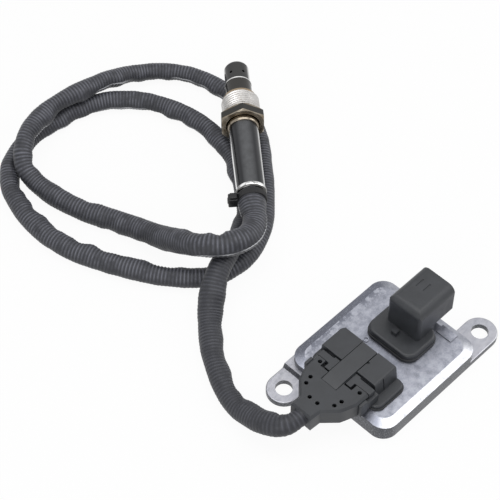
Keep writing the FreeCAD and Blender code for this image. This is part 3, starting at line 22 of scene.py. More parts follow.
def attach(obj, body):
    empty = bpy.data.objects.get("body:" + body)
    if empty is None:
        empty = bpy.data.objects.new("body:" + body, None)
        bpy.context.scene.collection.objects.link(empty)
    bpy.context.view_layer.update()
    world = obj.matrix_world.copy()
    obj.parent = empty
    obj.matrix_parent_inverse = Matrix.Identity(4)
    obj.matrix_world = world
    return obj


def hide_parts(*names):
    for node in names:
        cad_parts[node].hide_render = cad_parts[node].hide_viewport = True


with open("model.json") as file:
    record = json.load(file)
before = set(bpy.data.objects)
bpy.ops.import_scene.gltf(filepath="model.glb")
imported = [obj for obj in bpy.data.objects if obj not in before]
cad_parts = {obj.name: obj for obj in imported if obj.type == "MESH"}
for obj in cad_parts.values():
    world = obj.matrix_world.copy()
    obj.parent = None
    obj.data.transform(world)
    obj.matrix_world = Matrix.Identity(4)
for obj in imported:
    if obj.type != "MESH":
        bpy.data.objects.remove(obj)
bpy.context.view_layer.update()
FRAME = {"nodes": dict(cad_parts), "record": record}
LOG = logging.getLogger("sensor")
MM = 0.001
Colour = tuple[float, float, float]
Point = tuple[float, float, float]
Table = tuple[tuple[float, float], ...]
Row = Callable[[float], tuple[float, float]]
WELD = 2e-6
RIB_PITCH = 0.0018
VIEW_HEADING = 45.37


class Body(Enum):
    """The bodies that the pieces ride on."""

    SENSOR = "sensor"
    NUT = "swivel_nut"


class Edge(Enum):
    """The width of the small rounding that a way of making leaves on outside edges."""

    NONE = 0.0
    TURNED = 0.00012
    MOULDED = 0.00022
    CAST = 0.00035


@dataclass(frozen=True)
class ProbeAxis:
    """The probe's own frame: its hub lies at the rear face of the nut and its axis points to the tip."""

    hub: Point = (0.0487, 0.1425, 0.0205)
    heading: float = 50.0

    def ahead(self) -> Vector:
        """Gives the direction from the cable's end to the tip."""
        turn = math.radians(self.heading)
        return Vector((math.cos(turn), math.sin(turn), 0))

    def matrix(self) -> Matrix:
        """Gives the matrix that moves a mesh from the probe's frame, in millimetres, into the part's.

        Returns:
            The matrix; its local Z is the probe's axis and its local X points down.
        """
        along, down = self.ahead(), Vector((0, 0, -1))
        place = Matrix((down, along.cross(down), along)).transposed().to_4x4()
        place.translation = self.hub
        return place @ Matrix.Scale(MM, 4)


PROBE = ProbeAxis()


# ---- objects and node trees ----


def placed(name: str, data: bpy.types.ID) -> Object:
    """Puts an object into the scene.

    Args:
        name: The object's name.
        data: The mesh, curve, lamp or camera that it carries.

    Returns:
        The object.
    """
    thing = bpy.data.objects.new(name, data)
    bpy.context.scene.collection.objects.link(thing)
    return thing


def baked(carrier: Object, name: str) -> Mesh:
    """Makes a plain mesh of what an object shows through its modifiers, and removes the object.

    Args:
        carrier: The object.
        name: The mesh's name.

    Returns:
        The mesh.
    """
    bpy.context.view_layer.update()
    seen = carrier.evaluated_get(bpy.context.evaluated_depsgraph_get())
    mesh = bpy.data.meshes.new_from_object(seen)
    mesh.name = name
    carrier.modifiers.clear()
    bpy.data.objects.remove(carrier)
    return mesh


def written(work: bmesh.types.BMesh, name: str) -> Mesh:
    """Writes an edited shape to a new mesh.

    Args:
        work: The shape; it is freed.
        name: The mesh's name.

    Returns:
        The mesh.
    """
    mesh = bpy.data.meshes.new(name)
    work.to_mesh(mesh)
    work.free()
    return mesh


class Term:
    """A node's output; arithmetic on it adds Math nodes to its tree."""

    def __init__(self, sheet: "NodeSheet", socket: NodeSocket) -> None:
        """Takes the sheet of the tree and the output."""
        self.sheet, self.socket = sheet, socket

    def calc(self, operation: str, *others: "Term | float") -> "Term":
        """Adds a Math node that has this output as its first term."""
        return self.sheet.term("ShaderNodeMath", dict(enumerate((self, *others))), operation=operation)

    def __add__(self, other: "Term | float") -> "Term":
        """Adds the other."""
        return self.calc("ADD", other)

    def __sub__(self, other: "Term | float") -> "Term":
        """Subtracts the other."""
        return self.calc("SUBTRACT", other)

    def __mul__(self, other: "Term | float") -> "Term":
        """Multiplies by the other."""
        return self.calc("MULTIPLY", other)

    def __truediv__(self, other: "Term | float") -> "Term":
        """Divides by the other."""
        return self.calc("DIVIDE", other)


Inputs = dict[str | int, object]


class NodeSheet:
    """A node tree, with short calls for what materials and shapes share."""

    def __init__(self, tree: bpy.types.NodeTree) -> None:
        """Takes the tree that is written on."""
        self.tree = tree

    def feed(self, node: Node, inputs: Inputs) -> Node:
        """Gives a node its inputs.

        Args:
            node: The node.
            inputs: For each input's name or index, a plain value or the output joined to it.

        Returns:
            The same node.
        """
        for name, value in inputs.items():
            target = node.inputs[name]
            if isinstance(value, Term):
                self.tree.links.new(value.socket, target)
            else:
                target.default_value = (*value, 1) if target.type == "RGBA" else value
        return node

    def node(self, kind: str, inputs: Inputs | None = None, **settings: object) -> Node:
        """Adds a node.

        Args:
            kind: The node's full type name.
            inputs: Its inputs, in the form that feed takes.
            **settings: Properties to set on it before its inputs.

        Returns:
            The node.
        """
        made = self.tree.nodes.new(kind)
        for name, value in settings.items():
            setattr(made, name, value)
        return self.feed(made, inputs or {})

    def term(self, kind: str, inputs: Inputs | None = None, output: str | int = 0, **settings: object
             ) -> Term:
        """Adds a node, as node does, and gives one of its outputs."""
        return Term(self, self.node(kind, inputs, **settings).outputs[output])

    def span(self, value: Term, start: float, end: float, low: float, high: float) -> Term:
        """Maps a value from one range to another, held at both ends.

        Args:
            value: The value to map.
            start: The input that gives low.
            end: The input that gives high.
            low: The output at start.
            high: The output at end.

        Returns:
            The mapped value.
        """
        return self.term("ShaderNodeMapRange", {"Value": value, "From Min": start, "From Max": end,
                                                "To Min": low, "To Max": high})

    def split(self, vector: Term) -> tuple[Term, ...]:
        """Gives a vector's parts X, Y and Z."""
        return tuple(Term(self, part) for part in self.node("ShaderNodeSeparateXYZ", {0: vector}).outputs)


class ShaderSheet(NodeSheet):
    """One material's node tree, with short calls for what the finishes share."""

    def __init__(self, name: str) -> None:
        """Starts a material.

        Args:
            name: The material's name.
        """
        self.material = bpy.data.materials.new(name)
        self.material.use_nodes = True
        super().__init__(self.material.node_tree)
        self.shader = self.tree.nodes["Principled BSDF"]

    def place(self, turn: float = 0.0, stretch: Point = (1, 1, 1)) -> Term:
        """Gives the piece's own coordinates.

        Args:
            turn: An angle about Z, in degrees, that lines the pattern up with the piece.
            stretch: How much denser the pattern is along each axis after the turn.

        Returns:
            The vector output.
        """
        coordinates = self.term("ShaderNodeTexCoord", output="Object")
        if not turn and stretch == (1, 1, 1):
            return coordinates
        angles = (0, 0, math.radians(turn))
        turned = self.term("ShaderNodeMapping", {"Vector": coordinates, "Rotation": angles})
        return self.term("ShaderNodeMapping", {"Vector": turned, "Scale": stretch})

    def facing(self) -> tuple[Term, ...]:
        """Gives X, Y and Z of the way that the surface faces, in the piece's own frame."""
        return self.split(self.term("ShaderNodeTexCoord", output="Normal"))

    def noise(self, where: Term, size: float, detail: float = 3, rough: float = 0.5) -> Term:
        """Adds cloudy noise.

        Args:
            where: The coordinates that it is laid on.
            size: The breadth of one cloud, in metres.
            detail: How many finer layers it has.
            rough: How strong the finer layers are.

        Returns:
            The value output, about 0.3 to 0.7.
        """
        return self.term("ShaderNodeTexNoise", {"Vector": where, "Scale": 1 / size, "Detail": detail,
                                                "Roughness": rough}, output="Fac")

    def layered(self, colour: Colour | Term, *layers: tuple[Term, Colour | Term]) -> Term:
        """Lays colours over a first one, in turn.

        Args:
            colour: The first colour, plain or joined.
            *layers: For each colour on top, how much of it shows, 0 to 1, and the colour.

        Returns:
            The colour output.
        """
        for share, top in layers:
            colour = self.term("ShaderNodeMix", {"Factor": share, 6: colour, 7: top}, output=2,
                               data_type="RGBA")
        return colour

    def band(self, value: Term, start: float, end: float, soft: float) -> Term:
        """Gives 1 where a value lies in a range and 0 outside it.

        Args:
            value: The value.
            start: Where the range starts.
            end: Where it ends.
            soft: How far each end is spread.

        Returns:
            The share, 0 to 1.
        """
        return (self.span(value, start - soft, start + soft, 0, 1)
                * self.span(value, end - soft, end + soft, 1, 0))

    def own(self, name: str, output: str = "Fac") -> Term:
        """Gives a number, or with the output Vector a vector, that the mesh carries under a name."""
        return self.term("ShaderNodeAttribute", output=output, attribute_name=name)

    def station(self) -> Term:
        """Gives the place along the probe's axis, in millimetres ahead of the nut's rear face."""
        offset = self.term("ShaderNodeVectorMath", {0: self.place(), 1: PROBE.hub}, operation="SUBTRACT")
        return self.term("ShaderNodeVectorMath", {0: offset, 1: PROBE.ahead() / MM}, output="Value",
                         operation="DOT_PRODUCT")

    def relief(self, height: Term, depth: float) -> Term:
        """Gives the normal of a surface whose height, 0 to 1, stands for a depth in metres."""
        return self.term("ShaderNodeBump", {"Distance": depth, "Height": height})

    def finish(self, **inputs: object) -> Material:
        """Gives the shader its inputs.

        Args:
            **inputs: Plain values or outputs; an underscore in a name stands for a space.

        Returns:
            The finished material.
        """
        self.feed(self.shader, {name.replace("_", " "): value for name, value in inputs.items()})
        return self.material


class ShapeTree(NodeSheet):
    """A Geometry Nodes tree with named inputs that ends in Realize Instances and Set Material."""

    def __init__(self, name: str) -> None:
        """Starts a tree with its geometry input and output.

        Args:
            name: The tree's name.
        """
        super().__init__(bpy.data.node_groups.new(name, "GeometryNodeTree"))
        for way in ("INPUT", "OUTPUT"):
            self.tree.interface.new_socket("Geometry", in_out=way, socket_type="NodeSocketGeometry")
        self.entry = self.tree.nodes.new("NodeGroupInput")
        self.values: dict[str, float] = {}

    def number(self, name: str, value: float) -> Term:
        """Adds a named number input and remembers its value.

        Args:
            name: The input's name.
            value: The value that the modifier gives it; a whole number makes a whole-number input.

        Returns:
            The input's socket inside the tree.
        """
        kind = "NodeSocketInt" if isinstance(value, int) else "NodeSocketFloat"
        self.tree.interface.new_socket(name, in_out="INPUT", socket_type=kind)
        self.values[name] = value
        return Term(self, self.entry.outputs[name])

    def step(self, kind: str, inputs: Inputs | None = None, output: str | int = 0, **settings: object
             ) -> Term:
        """Adds a geometry node, its kind without the prefix, and gives one of its outputs."""
        return self.term("GeometryNode" + kind, inputs, output, **settings)

    def carried(self, name: str, kind: str = "FLOAT") -> Term:
        """Gives what the geometry carries under a name."""
        return self.step("InputNamedAttribute", {"Name": name}, data_type=kind)

    def entering(self) -> Term:
        """Gives the geometry that comes in."""
        return Term(self, self.entry.outputs[0])

    def captured(self, geometry: Term, value: Term) -> tuple[Term, Term]:
        """Fixes a value to the geometry that it is measured on.

        Args:
            geometry: The geometry.
            value: The value.

        Returns:
            The geometry and the fixed value.
        """
        made = self.node("GeometryNodeCaptureAttribute", {"Geometry": geometry})
        made.capture_items.new("FLOAT", "fixed")
        self.feed(made, {1: value})
        return Term(self, made.outputs[0]), Term(self, made.outputs[1])

    def close(self, geometry: Term, material: Material) -> None:
        """Ends the tree in Realize Instances and Set Material.

        Args:
            geometry: What the tree has made.
            material: The material of all of it.
        """
        whole = self.term("GeometryNodeRealizeInstances", {"Geometry": geometry})
        painted = self.term("GeometryNodeSetMaterial", {"Geometry": whole, "Material": material})
        self.feed(self.tree.nodes.new("NodeGroupOutput"), {0: painted})

    def grow(self, carrier: Object, name: str) -> Mesh:
        """Runs the tree on a carrier object and gives the result as a plain mesh.

        Args:
            carrier: The object whose geometry goes in; it is removed afterwards.
            name: The mesh's name.

        Returns:
            The mesh.
        """
        modifier = carrier.modifiers.new(self.tree.name, "NODES")
        modifier.node_group = self.tree
        for item in self.tree.interface.items_tree:
            if item.in_out == "INPUT" and item.name in self.values:
                modifier[item.identifier] = self.values[item.name]
        return baked(carrier, name)


# ---- finishes ----


@dataclass(frozen=True)
class CastAluminium:
    """Pressure-cast aluminium: a mottled, grainy roof, paler machined lugs and walls with painted shade.

    The rim's near and end slopes carry a painted highlight and its far slope painted shade, the roof is
    paler towards its long edges and has painted shade along the far one, and a painted highlight runs along
    the fold where it meets the near slope.
    """

    name: str = "cast_aluminium"
    light: Colour = (0.295, 0.307, 0.36)
    dark: Colour = (0.19, 0.2, 0.24)
    lug: Colour = (0.4, 0.4, 0.43)
    wall: Colour = (0.07, 0.073, 0.08)
    near_slope_highlight: Colour = (0.74, 0.75, 0.78)
    far_slope_shade: Colour = (0.12, 0.127, 0.158)
    paler_edges: Colour = (0.47, 0.48, 0.53)
    fold: Colour = (0.8, 0.8, 0.83)
    lug_top: float = 0.0052
    lug_edge: float = 0.0006
    cloud: float = 0.0032
    streak: float = 2.4
    far_edge_patch: float = 0.0042
    grain: float = 0.0005
    depth: float = 0.00003
    metal: float = 0.85

    def make(self) -> Material:
        """Builds the material.

        Returns:
            The material.
        """
        sheet = ShaderSheet(self.name)
        span = sheet.span
        where = sheet.place()
        cloud = sheet.noise(where, self.cloud, detail=6, rough=0.68)
        grain = sheet.noise(where, self.grain, detail=3, rough=0.7)
        far_edge_patch = sheet.noise(where, self.far_edge_patch, detail=5, rough=0.7)
        streak = sheet.noise(sheet.place(-8, (1, 7, 1)), self.cloud * self.streak, detail=4, rough=0.6)
        _, spot_y, spot_z = sheet.split(where)
        facing_x, facing_y, facing_z = sheet.facing()
        flat = span(facing_z, 0.975, 0.992, 0, 1)
        sloped = sheet.band(facing_z, 0.72, 0.968, 0.012)
        upright = span(facing_z, 0.7, 0.4, 0, 1)
        cloudy = span(cloud, 0.33, 0.55, 0.6, 0.97)
        # painted highlight on the near and end slopes, painted shade on the far slope
        near = sloped * span(facing_y, -0.08, -0.28, 0, 1)
        ends = sloped * span(facing_x, 0.12, 0.3, 0, 0.2)
        far = sloped * span(facing_y, 0.1, 0.27, 0, 1)
        # the roof is paler towards both long edges
        paler_edges = span(spot_y.calc("ABSOLUTE"), 0.009, 0.026, 0, 0.55) * span(cloud, 0.36, 0.6, 0.3, 1)
        # painted shade along the roof's far long edge, in the far slope's colour, broken up in patches
        far_edge_shade = span(spot_y, 0.0195, 0.0265, 0, 1) * span(far_edge_patch, 0.47, 0.56, 0, 0.85)
        # painted highlight along the fold between the roof and the near slope
        fold = sheet.band(facing_z, 0.966, 0.992, 0.004) * span(facing_y, -0.05, -0.12, 0, 0.85)
        low = span(spot_z, self.lug_top, self.lug_top + self.lug_edge, 1, 0)
        colour = sheet.layered(
            self.dark,
            (span(cloud, 0.36, 0.64, 0, 1), self.light),
            (span(streak, 0.52, 0.7, 0, 0.45), self.dark),
            (near * cloudy, self.near_slope_highlight),
            (ends * cloudy, self.near_slope_highlight),
            (far * span(grain, 0.5, 0.62, 0.95, 0.3), self.far_slope_shade),
            (span(grain, 0.55, 0.68, 0, 0.45), self.lug),
            (span(grain, 0.45, 0.34, 0, 0.5), self.dark),
            (paler_edges * flat, self.paler_edges),
            (far_edge_shade * flat, self.far_slope_shade),
            (fold, self.fold),
            (low * span(streak, 0.3, 0.62, 1, 0.45), self.lug),
            # painted shade on the upright walls, broken by the grain
            (upright * span(grain, 0.52, 0.64, 1, 0.35), self.wall))
        return sheet.finish(Base_Color=colour, Roughness=span(cloud, 0.3, 0.7, 0.3, 0.4),
                            Normal=sheet.relief(grain, self.depth), Metallic=self.metal,
                            Specular_IOR_Level=0.4)


@dataclass(frozen=True)
class MouldedPlastic:
    """Glass-filled moulding with a fine matt texture and faint flow marks."""

    name: str
    colour: Colour
    paler: Colour
    grain: float = 0.00022
    depth: float = 0.000022
    rough_low: float = 0.36
    rough_high: float = 0.5
    shine: float = 0.45
    flow: float = 0.006

    def make(self) -> Material:
        """Builds the material.

        Returns:
            The material.
        """
        sheet = ShaderSheet(self.name)
        where = sheet.place()
        flow = sheet.noise(where, self.flow, detail=4, rough=0.55)
        grain = sheet.noise(where, self.grain, detail=2, rough=0.55)
        colour = sheet.layered(self.colour,
                               (sheet.span(flow, 0.35, 0.7, 0, 0.6), self.paler),
                               (sheet.span(grain, 0.58, 0.75, 0, 0.4), self.paler))
        rough = sheet.span(flow, 0.3, 0.7, self.rough_low, self.rough_high)
        return sheet.finish(Base_Color=colour, Roughness=rough, Specular_IOR_Level=self.shine,
                            Normal=sheet.relief(grain, self.depth))


@dataclass(frozen=True)
class Stretch:
    """A length of the probe with a colour set between two stations in millimetres.

    Both its ends are spread by soft, and patched, where it is given, colours its darker patches.
    """

    start: float
    end: float
    colour: Colour
    soft: float = 0.12
    patched: Colour | None = None


@dataclass(frozen=True)
class TurnedMetal:
    """Steel turned or drawn on the probe's axis, with fine marks round it and a heat tint in patches.

    Where the surface faces less upwards than flank_from, to its full share at flank_to, it takes on painted
    shade; from station flank_end on only flank_beyond of it shows. A polished one has a clear glaze at a
    glance and a painted highlight line low on each side, which ends within line_stations.
    """

    name: str
    colour: Colour
    tint: Colour
    roughness: float
    depth: float = 0.000006
    tinted: float = 0.5
    stretches: tuple[Stretch, ...] = ()
    flank_shade: Colour | None = None
    flank_from: float = 0.8
    flank_to: float = 0.4
    flank_end: float = 0.0
    flank_beyond: float = 0.35
    polish: float = 0.0
    side_highlight: Colour = (0.62, 0.62, 0.62)
    metal: float = 1.0
    mark: float = 0.00018
    patch: float = 0.004
    stain: float = 0.0048
    glaze_glance: tuple[float, float] = (0.66, 0.74)
    glaze_ior: float = 4.0
    glaze_roughness: float = 0.06
    line_heights: tuple[float, float] = (-0.05, 0.31)
    line_stations: tuple[float, float] = (-2.0, 0.0)

    def make(self) -> Material:
        """Builds the material.

        Returns:
            The material.
        """
        sheet = ShaderSheet(self.name)
        span = sheet.span
        mark = sheet.noise(sheet.place(-PROBE.heading, (1, 0.02, 0.02)), self.mark, detail=3, rough=0.6)
        patch = sheet.noise(sheet.place(), self.patch, detail=4, rough=0.6)
        station, upward = sheet.station(), sheet.facing()[2]
        layers = [(span(patch, 0.4, 0.66, 0, self.tinted), self.tint)]
        for stretch in self.stretches:
            inside = sheet.band(station, stretch.start, stretch.end, stretch.soft)
            layers.append((inside, stretch.colour))
            if stretch.patched:
                stain = sheet.noise(sheet.place(), self.stain, detail=2)
                layers.append((inside * span(stain, 0.47, 0.6, 0, 0.9), stretch.patched))
        # painted shade on the sides, which face less upwards
        if self.flank_shade:
            side = span(upward, self.flank_from, self.flank_to, 0, 1)
            reach = span(station, self.flank_end - 1, self.flank_end + 1, 1, self.flank_beyond)
            layers.append((side * reach, self.flank_shade))
        glaze = {}
        if self.polish:
            glance = sheet.term("ShaderNodeLayerWeight", {"Blend": 0.5}, output="Facing")
            glaze = {"Coat_Weight": span(glance, *self.glaze_glance, 0, self.polish),
                     "Coat_IOR": self.glaze_ior, "Coat_Roughness": self.glaze_roughness}
            # painted highlight line low on each side of a polished piece, up to line_stations
            low = sheet.band(upward, *self.line_heights, 0.04)
            layers.append((low * span(station, *self.line_stations, 1, 0), self.side_highlight))
        rough = span(mark, 0.3, 0.7, self.roughness * 0.8, self.roughness * 1.25)
        return sheet.finish(Base_Color=sheet.layered(self.colour, *layers), Roughness=rough,
                            Metallic=self.metal, Normal=sheet.relief(mark, self.depth), **glaze)


@dataclass(frozen=True)
class HeatedNut:
    """The swivel nut: dull dark flats, a straw-tinted face and a bright rolled thread."""

    name: str = "nut_steel"
    flats: Colour = (0.047, 0.046, 0.044)
    face: Colour = (0.3, 0.265, 0.215)
    tint: Colour = (0.17, 0.13, 0.085)
    thread: Colour = (0.6, 0.59, 0.58)
    worn_thread: Colour = (0.42, 0.4, 0.38)
    patch: float = 0.0035
    mark: float = 0.00025
    depth: float = 0.000006

    def make(self) -> Material:
        """Builds the material, laid on the mesh's own marks for its faces and its thread.

        Returns:
            The material.
        """
        sheet = ShaderSheet(self.name)
        span = sheet.span
        patch = sheet.noise(sheet.place(), self.patch, detail=4, rough=0.6)
        mark = sheet.noise(sheet.place(-PROBE.heading, (1, 0.04, 0.04)), self.mark, detail=3, rough=0.6)
        across = sheet.layered(self.face, (span(patch, 0.42, 0.62, 0, 0.75), self.tint))
        rolled = sheet.layered(self.thread, (span(patch, 0.45, 0.65, 0, 0.5), self.worn_thread))
        colour = sheet.layered(self.flats, (sheet.own("across"), across), (sheet.own("rolled"), rolled))
        return sheet.finish(Base_Color=colour, Roughness=span(mark, 0.3, 0.7, 0.26, 0.4), Metallic=0.95,
                            Normal=sheet.relief(mark, self.depth))


@dataclass(frozen=True)
class LoomSleeve:
    """Satin ribbed sleeving: blue-grey cloth, painted shade in its rib hollows, a painted highlight line
    on each rib crest and a painted highlight along its slit edge.

    The slit's edge lies between two places round the sleeve. It shows in stretches, and on all of the
    sleeve's first length up to glint_until. The sides are shaded, and the run down to the unit is darker.
    """

    name: str = "loom_sleeve"
    valley: Colour = (0.019, 0.02, 0.025)
    crest: Colour = (0.064, 0.066, 0.08)
    line: Colour = (0.17, 0.175, 0.205)
    slit: Colour = (0.62, 0.63, 0.66)
    slit_start: float = 0.0282
    slit_end: float = 0.0294
    slit_soft: float = 0.0002
    glint_until: float = 0.022
    glint_fade: float = 0.004
    glint_length: float = 0.03
    shade: float = 0.75
    pitch: float = RIB_PITCH
    thread: float = 0.0004
    depth: float = 0.00004
    patch: float = 0.006

    def make(self) -> Material:
        """Builds the material, laid on the sleeve's own lengthwise and crosswise attribute.

        Returns:
            The material.
        """
        sheet = ShaderSheet(self.name)
        span = sheet.span
        cloth = sheet.own("cloth", "Vector")
        along, around, _ = sheet.split(cloth)
        crest = span((along * (math.tau / self.pitch)).calc("COSINE"), 1, -1, 0, 1)
        patch = sheet.noise(sheet.place(), self.patch, detail=4, rough=0.6)
        weave = sheet.noise(cloth, self.thread, detail=2, rough=0.7)
        # painted highlight along the slit edge: it shows in stretches and along the sleeve's first length
        glint_stretches = span(sheet.noise(sheet.place(), self.glint_length, detail=2), 0.47, 0.56, 0, 0.85)
        first = span(along, self.glint_until, self.glint_until + self.glint_fade, 0.9, 0)
        slit = sheet.band(around, self.slit_start, self.slit_end, self.slit_soft)
        colour = sheet.layered(
            self.valley,
            # the tone follows the ribs: painted shade in the hollows, lighter on the crests
            (span(crest, 0.05, 0.7, 0, 1), self.crest),
            # a painted highlight line on the rib crests, in patches; the same pale colour also flecks the
            # weave below
            (span(crest, 0.84, 0.98, 0, 1) * span(patch, 0.4, 0.64, 0.1, 0.75), self.line),
            (span(weave, 0.55, 0.75, 0, 0.22), self.line),
            (span(patch, 0.52, 0.34, 0, 0.75), self.valley),
            (span(along, 0.77, 0.83, 0, 0.6), self.valley),
            (span(sheet.facing()[2], 0.72, 0.1, 0, self.shade), self.valley),
            # the painted highlight on the slit edge
            (slit * glint_stretches.calc("MAXIMUM", first), self.slit))
        return sheet.finish(Base_Color=colour, Roughness=span(weave, 0.3, 0.7, 0.46, 0.62),
                            Normal=sheet.relief(weave, self.depth), Sheen_Weight=0.1, Sheen_Roughness=0.4,
                            Specular_IOR_Level=0.38)


@dataclass(frozen=True)
class SootedCeramic:
    """Sintered ceramic or a turned bush, pale and slightly stained."""

    name: str
    colour: Colour
    stain: Colour
    roughness: float = 0.6
    patch: float = 0.003
    grain: float = 0.0002
    depth: float = 0.00001

    def make(self) -> Material:
        """Builds the material.

        Returns:
            The material.
        """
        sheet = ShaderSheet(self.name)
        where = sheet.place()
        patch = sheet.noise(where, self.patch, detail=4)
        grain = sheet.noise(where, self.grain, detail=2)
        colour = sheet.layered(self.colour, (sheet.span(patch, 0.5, 0.75, 0, 0.5), self.stain))
        rough = sheet.span(grain, 0.3, 0.7, self.roughness - 0.1, self.roughness + 0.1)
        return sheet.finish(Base_Color=colour, Roughness=rough, Normal=sheet.relief(grain, self.depth))


FINISHES = {finish.name: finish for finish in (
    CastAluminium(),
    CastAluminium("plate_aluminium", (0.42, 0.43, 0.46), (0.32, 0.33, 0.36), cloud=0.006, grain=0.0003,
                  depth=0.000015),
    MouldedPlastic("black_moulding", (0.023, 0.025, 0.029), (0.035, 0.038, 0.044)),
    MouldedPlastic("grey_moulding", (0.028, 0.03, 0.034), (0.039, 0.042, 0.047)),
    MouldedPlastic("seal_rubber", (0.02, 0.021, 0.023), (0.03, 0.031, 0.034), grain=0.0003, depth=0.00001,
                   rough_low=0.5, rough_high=0.65),
    MouldedPlastic("tie_nylon", (0.009, 0.009, 0.01), (0.016, 0.016, 0.018), grain=0.0003, depth=0.000008,
                   rough_low=0.4, rough_high=0.5, shine=0.32),
    MouldedPlastic("board_laminate", (0.02, 0.11, 0.05), (0.03, 0.15, 0.07), grain=0.0004, depth=0.00001,
                   rough_low=0.3, rough_high=0.4, shine=0.5),
    MouldedPlastic("chip_moulding", (0.02, 0.02, 0.022), (0.035, 0.035, 0.038)),
    MouldedPlastic("wire_insulation", (0.12, 0.12, 0.13), (0.16, 0.16, 0.17)),
    LoomSleeve(),
    TurnedMetal("capacitor_can", (0.6, 0.6, 0.62), (0.5, 0.5, 0.52), roughness=0.3),
    TurnedMetal("pin_metal", (0.62, 0.56, 0.4), (0.5, 0.42, 0.28), roughness=0.25),
    # dark_steel: painted shade on the flanks, a painted highlight line low on each side, and a painted
    # highlight on the outer tube's lip ring at stations 28.2 to 29.2
    TurnedMetal("dark_steel", (0.125, 0.128, 0.134), (0.08, 0.081, 0.083), roughness=0.22, polish=1.0,
                flank_shade=(0.042, 0.043, 0.046), flank_from=0.995, flank_to=0.84,
                stretches=(Stretch(28.2, 29.2, (0.88, 0.88, 0.87), soft=0.05),
                           Stretch(29.2, 60, (0.068, 0.068, 0.068), soft=0.05))),
    # bright_steel: on the end ring, painted shade on its rear up to station -46.2 and on its sides, and a
    # painted highlight on its crown with patches of painted reflection
    TurnedMetal("bright_steel", (0.66, 0.64, 0.6), (0.42, 0.34, 0.26), roughness=0.2,
                flank_shade=(0.09, 0.088, 0.085), flank_from=0.72, flank_to=0.3, flank_end=-40, flank_beyond=0.0,
                stretches=(Stretch(-60, -46.2, (0.12, 0.12, 0.12)),
                           Stretch(-46.2, -43, (0.92, 0.92, 0.92), patched=(0.2, 0.2, 0.2)),
                           Stretch(-3, 9, (0.26, 0.225, 0.18), soft=0.3),
                           Stretch(17.2, 20.4, (0.32, 0.25, 0.175)),
                           Stretch(20.4, 32, (0.062, 0.06, 0.058), soft=0.5))),
    HeatedNut(),
    SootedCeramic("ceramic_white", (0.75, 0.74, 0.7), (0.5, 0.48, 0.44)),
    SootedCeramic("ptfe_bush", (0.7, 0.69, 0.66), (0.5, 0.48, 0.44), roughness=0.45))}


class FinishRack:
    """Makes each finish's material once and hands it out."""

    def __init__(self) -> None:
        """Starts with no material made."""
        self.made: dict[str, Material] = {}

    def material(self, slot: str) -> Material:
        """Gives the material of a record slot.

        Args:
            slot: The slot's name.

        Returns:
            The material.
        """
        if slot not in self.made:
            self.made[slot] = FINISHES[slot].make()
        return self.made[slot]


RACK = FinishRack()
SLOTS = {part["node"]: part["material_slot"] for part in FRAME["record"]["subparts"]}


# ---- mesh helpers ----


def add_piece(name: str, mesh: Mesh, node: str, body: Body = Body.SENSOR) -> Object:
    """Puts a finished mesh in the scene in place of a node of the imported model.

    Args:
        name: The piece's name.
        mesh: Its mesh, already in place.
        node: The node that it stands for.
        body: The body that it rides on.

    Returns:
        The piece.
    """
    piece = placed(name, mesh)
    if not mesh.materials:
        mesh.materials.append(RACK.material(SLOTS[node]))
    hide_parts(node)
    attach(piece, body.value)
    return piece


def soften(mesh: Mesh, edge: Edge, crease: float = 28.0, rounded_crease: float = 50.0) -> Mesh:
    """Rounds the sharp outside edges of a mesh a little and shades it smooth between them.

    Args:
        mesh: The mesh.
        edge: How wide the rounding is.
        crease: The angle, in degrees, from which an edge counts as sharp.
        rounded_crease: The angle from which one still does once the edges are rounded.

    Returns:
        The finished mesh.
    """
    for face in mesh.polygons:
        face.use_smooth = True
    if edge is Edge.NONE:
        mesh.set_sharp_from_angle(angle=math.radians(crease))
        return mesh
    carrier = placed("carrier", mesh)
    round_edges(carrier, edge.value, crease)
    rounded = baked(carrier, mesh.name)
    rounded.set_sharp_from_angle(angle=math.radians(rounded_crease))
    carrier = placed("carrier", rounded)
    flatten_shading(carrier)
    return baked(carrier, rounded.name)


def round_edges(piece: Object, width: float, crease: float) -> None:
    """Adds the modifier that rounds sharp edges.

    Args:
        piece: The object.
        width: How wide the rounding is.
        crease: The angle, in degrees, from which an edge counts as sharp.
    """
    rounding = piece.modifiers.new("rounding", "BEVEL")
    rounding.width = width
    rounding.segments = 2
    rounding.limit_method = "ANGLE"
    rounding.angle_limit = math.radians(crease)
    rounding.use_clamp_overlap = True
    rounding.miter_outer = "MITER_ARC"


def flatten_shading(piece: Object) -> None:
    """Adds the modifier that keeps broad flat faces evenly lit beside their rounded edges."""
    even = piece.modifiers.new("even", "WEIGHTED_NORMAL")
    even.keep_sharp = True
    even.weight = 80


def welded(node: str) -> Mesh:
    """Copies a node's mesh with its loose triangles joined and its flat faces whole.

    Args:
        node: The node's name.

    Returns:
        The copy.
    """
    work = bmesh.new()
    work.from_mesh(FRAME["nodes"][node].data)
    bmesh.ops.remove_doubles(work, verts=work.verts[:], dist=WELD)
    bmesh.ops.dissolve_limit(work, angle_limit=math.radians(0.6), verts=work.verts[:], edges=work.edges[:])
    return written(work, node + "_finished")


def dress(node: str, edge: Edge, crease: float = 28.0) -> Object:
    """Replaces a node whose shape is right by a welded, softened and finished copy."""
    return add_piece(node + "_finished", soften(welded(node), edge, crease), node)


def paint(*nodes: str) -> None:
    """Gives nodes that stay as they are their finish.

    Args:
        *nodes: The nodes' names.
    """
    for node in nodes:
        mesh = FRAME["nodes"][node].data
        mesh.materials.clear()
        mesh.materials.append(RACK.material(SLOTS[node]))


